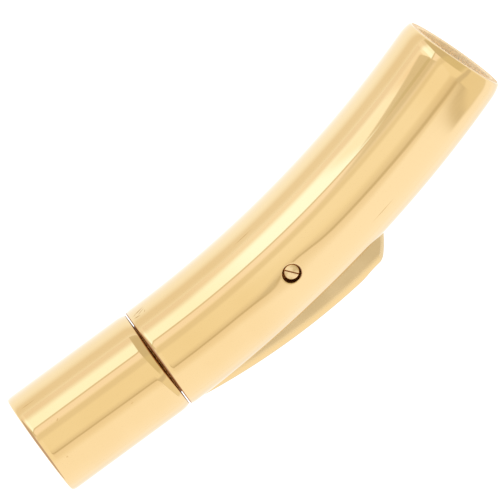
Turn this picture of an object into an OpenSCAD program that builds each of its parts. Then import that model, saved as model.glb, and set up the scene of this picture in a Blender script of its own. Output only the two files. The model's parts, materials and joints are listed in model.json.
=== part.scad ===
// Clip clasp for a round bracelet cord: a short plug sleeve and a longer bent socket tube,
// held together by a lever that turns on a small slotted screw.
// The clasp lies on its side, as on a table: +Z is up, along the pivot screw, head on top.
// +X runs along the straight plug towards the socket's open mouth, and the tube bends
// towards +Y. The lever stands out on the convex side, towards -Y.
// All shapes are drawn with the seam centre on the tube's axis at zero, and place() then
// puts the origin under the middle of the whole clasp.

/* [Tube] */
// Outside diameter of both tubes
tube_d = 8; // [7.6:0.1:8.4]
// Radius of the socket tube's bent centre line
bend_r = 83.5; // [78:0.5:95]
// Angle through which the socket tube bends
bend_angle = 20.7; // [20:0.1:22]
// Chamfer on the outer edges of both tubes
edge = 0.15; // [0.05:0.05:0.25]

/* [Cord bores] */
// Diameter of the bores that the cord ends are glued into
cord_bore_d = 6.2; // [5.8:0.1:6.4]
// Depth of the bore in the plug
plug_bore_depth = 7.4; // [6:0.1:8]
// Depth of the bore in the socket tube's mouth
socket_bore_depth = 8; // [6:0.1:9]
// Chamfer at the mouth of each cord bore
bore_edge = 0.12; // [0.05:0.01:0.2]

/* [Plug] */
// Length from the middle of the seam to the plug's outer end
plug_len = 10.4; // [9.6:0.1:12]
// Open gap between the two tubes at the seam
seam_gap = 0.25; // [0.2:0.05:0.4]
// Diameter of the collar that centres the plug
collar_d = 5.7; // [5.4:0.1:5.8]
// How far the collar reaches past the middle of the seam
collar_reach = 0.5; // [0.3:0.05:0.6]
// Diameter of the peg
peg_d = 3.4; // [3.2:0.1:3.5]
// How far the peg reaches past the middle of the seam
peg_reach = 6.9; // [6.5:0.1:7.1]
// Length of the peg's tapered nose
nose_len = 0.8; // [0.5:0.1:1]
// Diameter of the nose at its tip
nose_tip_d = 2; // [1.6:0.1:2.4]
// Diameter at the bottom of the catch groove
groove_d = 2.2; // [2:0.1:2.3]
// Start of the catch groove, from the middle of the seam
groove_start = 3.05; // [3:0.05:3.1]
// Width of the catch groove
groove_w = 1.4; // [1.4:0.05:1.6]

/* [Lever] */
// Thickness of the lever plate
lever_t = 2.4; // [2.2:0.1:2.5]
// Clearance between the lever and each side of its slot
lever_side_gap = 0.1; // [0.08:0.01:0.15]
// Radius of the lever's crowned outer face
crown_r = 51.3; // [48:0.1:56]
// Where along the tube the crown is highest
crown_x = 8.55; // [8.2:0.05:9]
// How far the crown stands out of the tube
crown_proud = 0.67; // [0.5:0.01:0.8]
// Radius that rounds the long outer edges
lever_round = 0.9; // [0.6:0.05:1]
// Front end of the lever
lever_front_x = 1.15; // [1.1:0.05:1.3]
// Inner face of the front arm, from the tube's axis
arm_inner_y = -2.05; // [-2.2:0.05:-2]
// Inner face of the tail, from the straight axis
tail_inner_y = -0.8; // [-1.2:0.1:-0.7]
// Start of the hook that drops into the groove
hook_x = 3.15; // [3.15:0.05:3.2]
// Length of the hook along the tube
hook_len = 1; // [0.8:0.05:1]
// Hook tip, from the tube's axis
hook_tip_y = -1.25; // [-1.3:0.01:-1.22]
// Lead-in on the front of the hook
hook_lead = 0.35; // [0.2:0.05:0.4]
// Corner of the lever's sloped tail end
tail_corner = [17.2, -2.7];
// Slope of the tail end from the tube's direction
tail_slope = 60; // [54:1:70]
// Radius of the tail end's round nose
tail_nose_r = 1.8; // [1.5:0.1:2.4]
// How far the hidden inner part of the tail reaches
tail_reach_x = 17.7; // [17.3:0.1:17.8]
// Length of the slope between the hub and the tail
tail_run = 1; // [0.5:0.1:2]

/* [Pivot] */
// Where the pivot sits along the tube
pivot_x = 11.04; // [10.9:0.01:11.2]
// Diameter of the screw's shank
shank_d = 1; // [0.9:0.05:1.1]
// Diameter of the screw's head
head_d = 1.26; // [1.2:0.02:1.28]
// Diameter of the hole that the head sits in
head_hole_d = 1.4; // [1.38:0.01:1.5]
// Depth of the head's top below the tube
head_recess = 0.22; // [0.1:0.01:0.4]
// Height of the head
head_h = 1.1; // [0.8:0.1:1.2]
// Width of the screwdriver slot
slot_cut_w = 0.14; // [0.1:0.01:0.25]
// Depth of the screwdriver slot
slot_cut_depth = 0.25; // [0.15:0.05:0.4]
// Direction of the screwdriver slot from the tube's direction
slot_cut_angle = -51.5; // [-90:0.5:90]
// Radial play between the shank and the lever
pivot_play = 0.06; // [0.04:0.01:0.09]
// Radius of the lever's hub
hub_r = 1.7; // [1.5:0.05:1.8]
// Lower end of the screw's shank, from the tube's axis
shank_end_z = -2.7; // [-2.8:0.1:-2.4]
// Bottom of the blind hole that the shank sits in
seat_end_z = -2.9; // [-3:0.1:-2.9]
// Radial play of the shank in the tube
seat_play = 0.03; // [0.02:0.01:0.05]
// Chamfer where the head goes in
hole_edge = 0.1; // [0.05:0.01:0.15]
// Chamfer on the screw's head
head_edge = 0.12; // [0.05:0.01:0.2]

/* [Slot in the tube] */
// Front end of the lever's slot
slot_front_x = 1.05; // [1:0.01:1.08]
// Rear end of the lever's slot
slot_rear_x = 18.9; // [18.8:0.1:19.4]
// Floor of the slot in front of the hub
slot_front_floor_y = -1.2; // [-1.3:0.05:-1]
// Floor of the slot behind the hub
slot_rear_floor_y = 1.1; // [1:0.1:1.4]
// Clearance around the hub
hub_gap = 0.25; // [0.2:0.05:0.4]
// Depth of the counterbore for the collar, from the middle of the seam
counterbore_reach = 0.6; // [0.6:0.01:0.65]
// Depth of the guide bore for the peg, from the middle of the seam
guide_reach = 7.6; // [7.5:0.1:7.8]
// Radial clearance of the collar and the peg
plug_play = 0.1; // [0.06:0.01:0.12]

/* [Hidden] */
$fn = 96;
gold = [0.93, 0.78, 0.5];

tube_r = tube_d / 2;
half_gap = seam_gap / 2;
bend_len = bend_r * bend_angle * PI / 180;
// More than any depth that a cut has to pass
beyond = 50;
// A little more than a face, so that a cut leaves it open
past = 0.5;

// The tube's centre line at a distance x from the seam
function bend_y(x) = bend_r - sqrt(bend_r * bend_r - x * x);
// Angle of the bend at an arc length s
function bend_at(s) = s / bend_r * 180 / PI;

pivot_y = bend_y(pivot_x);
slot_w = lever_t + 2 * lever_side_gap;
screw_top_z = tube_r - head_recess;
head_floor_z = screw_top_z - head_h;
crown_y = crown_r - tube_r - crown_proud;

// Extremes of the whole clasp, from which its origin is worked out
end_in = bend_at(bend_len - edge);
low_x = -plug_len;
high_x = max((bend_r + tube_r) * sin(end_in), (bend_r + tube_r - edge) * sin(bend_angle));
low_y = -tube_r - crown_proud;
high_y = bend_r - min((bend_r - tube_r) * cos(end_in), (bend_r - tube_r + edge) * cos(bend_angle));

// Moves a shape from the seam's frame to the clasp's own frame
module place() {
    translate([-(low_x + high_x) / 2, -(low_y + high_y) / 2, tube_r]) children();
}

// Carries a shape drawn at the seam along the bent centre line by an arc length s
module along_bend(s) {
    translate([0, bend_r, 0]) rotate(bend_at(s)) translate([0, -bend_r, 0]) children();
}

// Straight round bar along X from x0 to x1, or a cone where d1 is given too
module bar_x(x0, x1, d0, d1 = 0) {
    translate([x0, 0, 0]) rotate([0, 90, 0]) cylinder(d1 = d0, d2 = d1 == 0 ? d0 : d1, h = x1 - x0);
}

// Round bar bent along the centre line between two arc lengths
module bent_bar(d, s0, s1) {
    translate([0, bend_r, 0]) rotate(bend_at(s0) - 90)
        rotate_extrude(angle = bend_at(s1 - s0)) translate([bend_r, 0]) circle(d = d);
}

// Cone that leaves a chamfer on a tube end at zero and opens wide towards -X
module end_cone() {
    bar_x(-beyond, 0, tube_d - 2 * edge + 2 * beyond, tube_d - 2 * edge);
}

// Cord bore that runs inwards from its mouth at zero along -X, with a chamfered mouth
module cord_bore(depth) {
    bar_x(-depth, past, cord_bore_d);
    bar_x(-bore_edge, 0, cord_bore_d, cord_bore_d + 2 * bore_edge);
}

module plug() {
    color(gold) place() difference() {
        union() {
            bar_x(-plug_len, -plug_len + edge, tube_d - 2 * edge, tube_d);
            bar_x(-plug_len + edge, -half_gap - edge, tube_d);
            bar_x(-half_gap - edge, -half_gap, tube_d, tube_d - 2 * edge);
            bar_x(-half_gap, collar_reach, collar_d);
            bar_x(collar_reach, groove_start, peg_d);
            bar_x(groove_start, groove_start + groove_w, groove_d);
            bar_x(groove_start + groove_w, peg_reach - nose_len, peg_d);
            bar_x(peg_reach - nose_len, peg_reach, peg_d, nose_tip_d);
        }
        translate([-plug_len, 0, 0]) mirror([1, 0, 0]) cord_bore(plug_bore_depth);
    }
}

module socket_tube() {
    color(gold) place() difference() {
        intersection() {
            bent_bar(tube_d, half_gap, bend_len);
            along_bend(bend_len) end_cone();
            along_bend(half_gap) mirror([1, 0, 0]) end_cone();
        }
        bar_x(-past, counterbore_reach, collar_d + 2 * plug_play);
        bar_x(0, guide_reach, peg_d + 2 * plug_play);
        lever_slot();
        along_bend(bend_len) cord_bore(socket_bore_depth);
        screw_hole();
    }
}

// Pocket for the lever, open on the convex side of the tube
module lever_slot() {
    hub_clear = hub_r + hub_gap;
    linear_extrude(slot_w, center = true) {
        translate([slot_front_x, -beyond]) square([pivot_x - slot_front_x, beyond + slot_front_floor_y]);
        translate([pivot_x - hub_clear, -beyond]) square([2 * hub_clear, beyond + pivot_y]);
        translate([pivot_x, pivot_y]) circle(r = hub_clear);
        translate([pivot_x, -beyond]) square([slot_rear_x - pivot_x, beyond + slot_rear_floor_y]);
    }
}

// Stepped hole for the pivot screw, with a small chamfer where the head goes in
module screw_hole() {
    seat_h = head_floor_z - seat_end_z;
    translate([pivot_x, pivot_y, 0]) {
        translate([0, 0, head_floor_z]) cylinder(d = head_hole_d, h = beyond);
        translate([0, 0, seat_end_z]) cylinder(r = shank_d / 2 + seat_play, h = seat_h + past);
        translate([0, 0, tube_r - hole_edge])
            cylinder(d1 = head_hole_d, d2 = head_hole_d + 4 * hole_edge, h = 2 * hole_edge);
    }
}

module lever() {
    color(gold) place() difference() {
        intersection() {
            union() {
                lever_crown();
                linear_extrude(lever_t, center = true) lever_plan();
            }
            translate([lever_front_x, -beyond, -beyond]) cube(2 * beyond);
            tail_end();
        }
        translate([pivot_x, pivot_y, -beyond]) cylinder(r = shank_d / 2 + pivot_play, h = 2 * beyond);
    }
}

// Outer band of the lever, turned about the crown's centre, with rounded outer edges
module lever_crown() {
    band = 1.3;
    from = -10;
    sweep = 22;
    translate([crown_x, crown_y, 0]) rotate(from - 90) rotate_extrude(angle = sweep) {
        translate([crown_r - band, -lever_t / 2]) square([band - lever_round, lever_t]);
        translate([crown_r - band, -lever_t / 2 + lever_round]) square([band, lever_t - 2 * lever_round]);
        for (side = [-1, 1])
            translate([crown_r - lever_round, side * (lever_t / 2 - lever_round)]) circle(r = lever_round);
    }
}

// Outline of the plate inside the crown: front arm with its hook, hub and tail
module lever_plan() {
    crown_overlap = 0.2;
    intersection() {
        union() {
            translate([pivot_x, pivot_y]) circle(r = hub_r);
            polygon([
                [0, -tube_d],
                [0, arm_inner_y],
                [hook_x, arm_inner_y],
                [hook_x + hook_lead, hook_tip_y],
                [hook_x + hook_len, hook_tip_y],
                [hook_x + hook_len, arm_inner_y],
                [pivot_x - hub_r, arm_inner_y],
                [pivot_x - hub_r, pivot_y],
                [pivot_x + hub_r, pivot_y],
                [pivot_x + hub_r + tail_run, tail_inner_y],
                [tail_reach_x, tail_inner_y],
                [tail_reach_x, -tube_d]
            ]);
        }
        translate([crown_x, crown_y]) circle(r = crown_r - lever_round - crown_overlap, $fn = 720);
    }
}

// Space inside the sloped, round-nosed end of the tail
module tail_end() {
    nose_back = sqrt(tail_nose_r * tail_nose_r - lever_t * lever_t / 4);
    translate([tail_corner[0], tail_corner[1], 0]) rotate(tail_slope - 90) translate([-nose_back, 0, 0]) {
        translate([-beyond, -beyond, -tail_nose_r]) cube([beyond, 2 * beyond, 2 * tail_nose_r]);
        rotate([90, 0, 0]) cylinder(r = tail_nose_r, h = 2 * beyond, center = true);
    }
}

module pivot_screw() {
    color(gold) place() translate([pivot_x, pivot_y, 0]) difference() {
        union() {
            translate([0, 0, shank_end_z]) cylinder(d = shank_d, h = head_floor_z - shank_end_z);
            translate([0, 0, head_floor_z]) cylinder(d = head_d, h = head_h - head_edge);
            translate([0, 0, screw_top_z - head_edge])
                cylinder(d1 = head_d, d2 = head_d - 2 * head_edge, h = head_edge);
        }
        rotate(slot_cut_angle) translate([-head_d, -slot_cut_w / 2, screw_top_z - slot_cut_depth])
            cube([2 * head_d, slot_cut_w, slot_cut_depth + past]);
    }
}

plug();
socket_tube();
lever();
pivot_screw();
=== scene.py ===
"""Looks of a fastened lever clip clasp: two gold-coloured tubes, the lever in the longer one and its screw.

Everything is drawn in millimetres in the seam's frame. Its zero is the middle of the seam on the tube's
axis, with +X along the plug towards the socket tube, +Y towards the inside of the bend and +Z towards the
screw head. Skin.piece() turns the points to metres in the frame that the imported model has.
"""
import json
import logging
import math
from collections.abc import Sequence
from dataclasses import dataclass
from enum import Enum

import bmesh
import bpy
import numpy as np
from mathutils import Matrix, Vector
from numpy.typing import NDArray


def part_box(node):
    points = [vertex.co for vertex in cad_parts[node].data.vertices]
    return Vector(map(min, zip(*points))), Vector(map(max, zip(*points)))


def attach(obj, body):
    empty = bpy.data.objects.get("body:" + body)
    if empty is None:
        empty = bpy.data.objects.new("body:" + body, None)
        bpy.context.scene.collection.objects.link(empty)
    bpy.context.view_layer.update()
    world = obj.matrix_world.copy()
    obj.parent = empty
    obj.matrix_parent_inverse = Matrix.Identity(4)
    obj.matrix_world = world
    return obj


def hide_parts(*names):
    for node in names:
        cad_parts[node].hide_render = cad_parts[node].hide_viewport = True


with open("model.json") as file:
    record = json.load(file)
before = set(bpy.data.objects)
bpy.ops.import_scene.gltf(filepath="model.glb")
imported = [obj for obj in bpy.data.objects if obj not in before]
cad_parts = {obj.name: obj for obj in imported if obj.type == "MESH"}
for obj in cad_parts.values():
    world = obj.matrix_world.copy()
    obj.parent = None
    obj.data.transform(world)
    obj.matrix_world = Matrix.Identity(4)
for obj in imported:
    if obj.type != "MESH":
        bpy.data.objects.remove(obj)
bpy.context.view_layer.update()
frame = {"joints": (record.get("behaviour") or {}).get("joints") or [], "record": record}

Array = NDArray[np.float64]
Pair = tuple[float, float]
Triple = tuple[float, float, float]
Socket = bpy.types.NodeSocket
MM = 0.001
PLUG_LENGTH = 10.4
TUBE_RADIUS = 4.0
BORE_FLOOR_STEPS = 8
BORE_WALL_STEPS = 24
log = logging.getLogger("clip_clasp")


class Face(Enum):
    """Which finish a patch of a piece takes."""

    POLISHED = "polished outside"
    # Partly painted shade: the lever's flat sides are rougher satin, and their darker colour stands in for
    # the shade beside the tube, going over to the polished colour at the crown.
    SATIN_PAINTED_SHADE = "satin side, polished towards the crown"
    # Partly painted light: the turned bores are rough like turned metal, and their colour is raised paler
    # than the gold to stand in for light that reaches deep into them.
    TURNED = "turned bore"
    RIM = "dull end face"
    # Painted shade: gaps, recesses and hidden inner walls take a dark brown that stands in for the shade
    # between the parts.
    SHADE_PAINTED_GAP = "narrow gap painted dark as shade"


Materials = dict[Face, bpy.types.Material]


def spread(breaks: Sequence[float], steps: Sequence[int]) -> Array:
    """Values that run evenly through several stretches.

    Args:
        breaks: Ends of the stretches, one more than there are stretches.
        steps: Number of equal steps in each stretch.

    Returns:
        All values from the first break to the last, each break once.
    """
    parts = [np.linspace(a, b, n, endpoint=False) for a, b, n in zip(breaks[:-1], breaks[1:], steps)]
    return np.concatenate([*parts, [breaks[-1]]])


def along(nodes: Sequence[Pair], steps: Sequence[int]) -> Array:
    """Points that run evenly along each side of a bent line.

    Args:
        nodes: Corners of the line as (x, y).
        steps: Number of equal steps on each side.

    Returns:
        An (n, 2) array from the first corner to the last.
    """
    corners = np.array(nodes, float)
    return np.stack([spread(corners[:, k], steps) for k in (0, 1)], -1)


def ruled(first: Array, last: Array, shares: Array | int) -> Array:
    """Surface of straight lines between two curves with as many points.

    A point is (1 - share) times the first curve plus share times the last one.

    Args:
        first: Points of the first curve, (n, 3).
        last: Points of the last curve, (n, 3).
        shares: Places along each straight line, from 0 to 1, or the number of equal steps along it.

    Returns:
        A grid with a row for each place and n columns.
    """
    places = np.linspace(0, 1, shares + 1) if isinstance(shares, int) else shares
    share = places[:, None, None]
    return (1 - share) * first + share * last


def soft_step(share: Array) -> Array:
    """Three times the share's square less twice its cube, with the share held between 0 and 1."""
    held = np.clip(share, 0, 1)
    return held * held * (3 - 2 * held)


def plan(points: Array, z: float | Array) -> Array:
    """Plan points (x, y) lifted to the height z, as (..., 3)."""
    x, y, height = np.broadcast_arrays(points[..., 0], points[..., 1], z)
    return np.stack([x, y, height], -1)


def bearing(points: Array, centre: Pair) -> Array:
    """Direction of each point in plan from a centre, in radians."""
    return np.arctan2(points[..., 1] - centre[1], points[..., 0] - centre[0])


def around(loop: Array, centre: Pair, radius: float) -> Array:
    """The points of a loop moved in plan on to a circle: the centre plus radius times each unit direction.

    Args:
        loop: Points, (n, 3).
        centre: The circle's centre in plan.
        radius: The circle's radius.

    Returns:
        The moved points, (n, 3), at their own heights.
    """
    away = loop[:, :2] - np.array(centre)
    away = away / np.linalg.norm(away, axis=1, keepdims=True)
    return plan(np.array(centre) + radius * away, loop[:, 2])


def closed(grid: Array) -> Array:
    """A grid whose first column is repeated at its end."""
    return np.concatenate([grid, grid[:, :1]], 1)


def block_loop(grid: Array, rows: slice, cols: slice) -> Array:
    """The closed edge of a block of a grid, once round, with its first point only once.

    Args:
        grid: Any (rows, columns, values) array.
        rows: First and last row of the block, the last one included.
        cols: First and last column of the block, the last one included.

    Returns:
        An (n, values) array.
    """
    r0, r1, c0, c1 = rows.start, rows.stop, cols.start, cols.stop
    sides = [grid[r0, c0:c1], grid[r0:r1, c1], grid[r1, c1:c0:-1], grid[r1:r0:-1, c0]]
    return np.concatenate(sides)


def all_faces(grid: Array) -> NDArray[np.bool_]:
    """A mask that keeps every face of a grid."""
    return np.ones((grid.shape[0] - 1, grid.shape[1] - 1), bool)


def column_beyond(points: Array, place: Pair) -> int:
    """Index of the point that lies most nearly straight beyond a place, on the place's +Y side."""
    aside = np.abs(points[:, 0] - place[0])
    return int(np.argmin(np.where(points[:, 1] < place[1], np.inf, aside)))


def rim(radius: float, width: float, steps: int = 6) -> tuple[Array, Array]:
    """Quarter round from an end face into a bore.

    Args:
        radius: Radius of the bore.
        width: Radius of the quarter round.
        steps: Number of steps.

    Returns:
        Depths below the face and distances from the axis, from the face to the bore's wall.
    """
    turn = np.linspace(0, math.pi / 2, steps + 1)
    return width * (1 - np.cos(turn)), radius + width * (1 - np.sin(turn))


@dataclass(frozen=True)
class TubeLine:
    """The tube's centre line: straight up to the seam, and one arc after it."""

    seam: Triple
    bend_r: float
    bend_len: float
    radius: float

    @classmethod
    def from_frame(cls) -> "TubeLine":
        """Reads the line from the plug's box and from the bore in the socket tube's mouth.

        Returns:
            The line, in millimetres.
        """
        low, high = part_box("plug")
        mouth = next(m for m in frame["record"]["mounts"] if m["name"] == "socket_cord_bore")
        cos, sin = mouth["axis"][0], mouth["axis"][1]
        axis_y, axis_z = (low.y + high.y) / 2, (low.z + high.z) / 2
        seam_x = low.x + PLUG_LENGTH * MM
        bend_r = (mouth["pos_m"][0] - seam_x) / sin
        bend_len = bend_r * math.atan2(sin, cos)
        seam = (seam_x / MM, axis_y / MM, axis_z / MM)
        return cls(seam, bend_r / MM, bend_len / MM, (high.z - low.z) / 2 / MM)

    def turn(self, s: Array) -> Array:
        """Angle of the line at the arc length s, in radians."""
        return np.maximum(s, 0) / self.bend_r

    def centre(self, s: Array) -> Array:
        """Point of the line: straight before the seam, on the bend's circle after it.

        Args:
            s: Arc length, zero at the seam.

        Returns:
            Plan points, (..., 2).
        """
        turn = self.turn(s)
        x = np.minimum(s, 0) + self.bend_r * np.sin(turn)
        return np.stack([x, self.bend_r * (1 - np.cos(turn))], -1)

    def inward(self, s: Array) -> Array:
        """Unit vector from the line towards the inside of the bend at the arc length s."""
        turn = self.turn(s)
        return np.stack([-np.sin(turn), np.cos(turn)], -1)

    def offset(self, s: Array, q: Array | float) -> Array:
        """Plan point at the arc length s and the distance q from the line, towards the bend's inside."""
        s, q = np.broadcast_arrays(s, q)
        return self.centre(s) + q[..., None] * self.inward(s)

    def ring(self, s: Array | float, angle: Array, radius: Array) -> Array:
        """The centre less inward times radius and the angle's cosine, plus Z times radius and its sine."""
        # Angle 0 is on the convex side and 90 degrees is on top.
        s, angle, radius = np.broadcast_arrays(s, angle, radius)
        return plan(self.offset(s, -radius * np.cos(angle)), radius * np.sin(angle))

    def chart(self, points: Array) -> tuple[Array, Array]:
        """Place on the outer skin above plan points that lie on the bend.

        The bend's centre gives the arc length by its angle, and the distance from it gives the skin's angle.

        Args:
            points: Plan points, (..., 2).

        Returns:
            Arc lengths and angles around the tube.
        """
        x, y = points[..., 0], points[..., 1]
        s = self.bend_r * np.arctan2(x, self.bend_r - y)
        q = self.bend_r - np.hypot(x, self.bend_r - y)
        return s, np.arccos(-q / self.radius)


@dataclass(frozen=True)
class BuffedEdge:
    """Outer edge of a polished tube: a small round at the end face and a roll-off behind it.

    The roll-off's slope falls from the slope at the round to zero as a power of the distance that is left,
    and the drop is the sum of that slope.
    """

    round_r: float = 0.16
    slope_deg: float = 17.0
    power: float = 2.2
    reach: float = 0.85
    round_steps: int = 9
    fade_steps: int = 18
    steep_steps: int = 5

    CROWDING = 1.4
    WEAR_SHARE = 0.25

    def profile(self, scale: Array) -> tuple[Array, Array]:
        """Distances from the end face and drops below the tube's radius, from the face inwards.

        Args:
            scale: What the round's radius is multiplied by at each column, (columns,).

        Returns:
            Two (rows, columns) grids.
        """
        slope = math.radians(self.slope_deg)
        tilt = np.linspace(math.pi / 2, slope, self.round_steps + 1)[:, None]
        round_r = self.round_r * scale
        round_at = round_r * (1 - np.sin(tilt))
        length = self.reach - round_at[-1]
        amount = math.tan(slope) * length / (self.power + 1)
        round_drop = amount + round_r * (math.cos(slope) - np.cos(tilt))
        share = np.linspace(0, 1, self.fade_steps + 1)[1:, None] ** self.CROWDING
        fade_at = round_at[-1] + length * share
        fade_drop = amount * (1 - share) ** (self.power + 1)
        return np.concatenate([round_at, fade_at]), np.concatenate([round_drop, fade_drop])

    def wear(self, distance: Array) -> Array:
        """How worn the skin is at a distance from the nearest end face, from 1 at the face to 0."""
        return np.exp(-distance / (self.reach * self.WEAR_SHARE))


class Skin:
    """Grids of points that are welded into one closed piece."""

    WELD = 1e-5
    SHARP_DEG = 35.0

    def __init__(self, name: str, line: TubeLine) -> None:
        """Starts an empty piece.

        Args:
            name: The piece's name.
            line: The line whose seam is the zero of the piece's points.
        """
        self.name = name
        self.line = line
        self.points: list[Array] = []
        self.quads: list[Array] = []
        self.maps: list[Array] = []
        self.edges: list[Array] = []
        self.polish_and_light_shares: list[Array] = []
        self.finish: list[Array] = []
        self.faces: list[Face] = []
        self.count = 0

    def add(self, grid: Array, face: Face, keep: Array | None = None, chart: Array | None = None,
            edge: Array | None = None, polish: Array | None = None) -> None:
        """Adds a grid of four-sided faces.

        Args:
            grid: Points in millimetres, (rows, columns, 3).
            face: The finish of the patch.
            keep: Which faces to keep, (rows - 1, columns - 1), or all.
            chart: Distances along and around the surface in millimetres, (rows, columns, 2), or x and y.
            edge: How near an outer edge each point is, from 0 to 1, (rows, columns), or 0.
            polish: How polished and lit a satin side is at each point, from 0 to 1, (rows, columns), or 0;
                below 1 the side is painted darker as shade.
        """
        rows, cols = grid.shape[:2]
        index = np.arange(rows * cols).reshape(rows, cols) + self.count
        quads = np.stack([index[:-1, :-1], index[1:, :-1], index[1:, 1:], index[:-1, 1:]], -1)
        quads = quads.reshape(-1, 4) if keep is None else quads[keep]
        if face not in self.faces:
            self.faces.append(face)
        self.points.append(grid.reshape(-1, 3))
        self.quads.append(quads)
        self.maps.append((grid[..., :2] if chart is None else chart).reshape(-1, 2))
        for given, store in ((edge, self.edges), (polish, self.polish_and_light_shares)):
            store.append(np.zeros(rows * cols) if given is None else given.reshape(-1))
        self.finish.append(np.full(len(quads), self.faces.index(face)))
        self.count += rows * cols

    def band(self, first: Array, last: Array, steps: int, face: Face) -> None:
        """Adds a closed band of straight lines between two loops, in a number of equal steps."""
        self.add(closed(ruled(first, last, steps)), face)

    def add_holed(self, grid: Array, face: Face, block: tuple[slice, slice], centre: Pair, radius: float,
                  steps: int, polish: Array | None = None) -> Array:
        """Adds a flat grid with a round hole in it.

        Args:
            grid: Points in millimetres, (rows, columns, 3).
            face: The finish of the patch.
            block: Rows and columns of the faces that make way for the hole.
            centre: The hole's centre in plan.
            radius: The hole's radius.
            steps: Number of steps from the block's edge to the hole's edge.
            polish: How polished and lit a satin side is at each point of the grid, or 0; below 1 the side is
                painted darker as shade.

        Returns:
            The hole's edge, (n, 3).
        """
        keep = all_faces(grid)
        keep[block] = False
        self.add(grid, face, keep=keep, polish=polish)
        loop = block_loop(grid, *block)
        hole = around(loop, centre, radius)
        self.band(loop, hole, steps, face)
        return hole

    def piece(self, body: str, node: str, slot: str, materials: Materials) -> bpy.types.Object:
        """Welds the grids, makes the object and puts it in place of its CAD node.

        Points within a hundred-thousandth of a millimetre become one, and a four-sided face that loses a
        corner becomes a triangle.

        Args:
            body: The CAD body that the piece rides on.
            node: The CAD node that it replaces.
            slot: The record's material slot; not used.
            materials: The material of each finish.

        Returns:
            The finished object.
        """
        points = (np.concatenate(self.points) + np.array(self.line.seam)) * MM
        quads, charts = np.concatenate(self.quads), np.concatenate(self.maps) * MM
        finish = np.concatenate(self.finish)
        _, first, welded = np.unique(np.round(points / (MM * self.WELD)).astype(np.int64), axis=0,
                                     return_index=True, return_inverse=True)
        corners = welded.reshape(-1)[quads]
        fresh = corners != np.roll(corners, 1, axis=1)
        whole = (fresh.sum(1) >= 3) & (corners[:, 0] != corners[:, 2]) & (corners[:, 1] != corners[:, 3])
        corners, quads, fresh, finish = corners[whole], quads[whole], fresh[whole], finish[whole]
        sizes = fresh.sum(1)
        starts = np.concatenate([[0], np.cumsum(sizes)[:-1]])
        mesh = bpy.data.meshes.new(self.name)
        mesh.vertices.add(len(first))
        mesh.vertices.foreach_set("co", points[first].astype(np.float32).ravel())
        mesh.loops.add(int(sizes.sum()))
        mesh.loops.foreach_set("vertex_index", corners[fresh].astype(np.int32))
        mesh.polygons.add(len(sizes))
        mesh.polygons.foreach_set("loop_start", starts.astype(np.int32))
        mesh.polygons.foreach_set("material_index", finish.astype(np.int32))
        mesh.update(calc_edges=True)
        layer = mesh.uv_layers.new(name="surface")
        layer.data.foreach_set("uv", charts[quads[fresh]].astype(np.float32).ravel())
        for name, values in (("edge_wear", self.edges), ("side_polish_and_light", self.polish_and_light_shares)):
            values = np.concatenate(values)[first].astype(np.float32)
            mesh.attributes.new(name, "FLOAT", "POINT").data.foreach_set("value", values)
        for face in self.faces:
            mesh.materials.append(materials[face])
        self.face_outwards(mesh)
        mesh.shade_smooth()
        mesh.set_sharp_from_angle(angle=math.radians(self.SHARP_DEG))
        made = bpy.data.objects.new(self.name, mesh)
        bpy.context.scene.collection.objects.link(made)
        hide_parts(node)
        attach(made, body)
        return made

    def face_outwards(self, mesh: bpy.types.Mesh) -> None:
        """Turns the faces of the closed mesh outwards and warns where it is open.

        Args:
            mesh: The welded mesh.
        """
        work = bmesh.new()
        work.from_mesh(mesh)
        bmesh.ops.recalc_face_normals(work, faces=work.faces)
        open_edges = sum(not e.is_manifold for e in work.edges)
        if open_edges:
            log.warning("%s has %d open edges", self.name, open_edges)
        work.to_mesh(mesh)
        work.free()


@dataclass
class Part:
    """A piece of the clasp, which knows the CAD body and node that it stands for and its material slot."""

    line: TubeLine

    NAME = ""
    BODY = ""
    NODE = ""
    SLOT = "polished_gold"

    def build(self, materials: Materials) -> bpy.types.Object:
        """Draws the piece's grids and welds them.

        Args:
            materials: The material of each finish.

        Returns:
            The finished object.
        """
        self.skin = Skin(self.NAME, self.line)
        self.draw()
        return self.skin.piece(self.BODY, self.NODE, self.SLOT, materials)

    def draw(self) -> None:
        """Adds the piece's grids to its skin."""
        raise NotImplementedError


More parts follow.
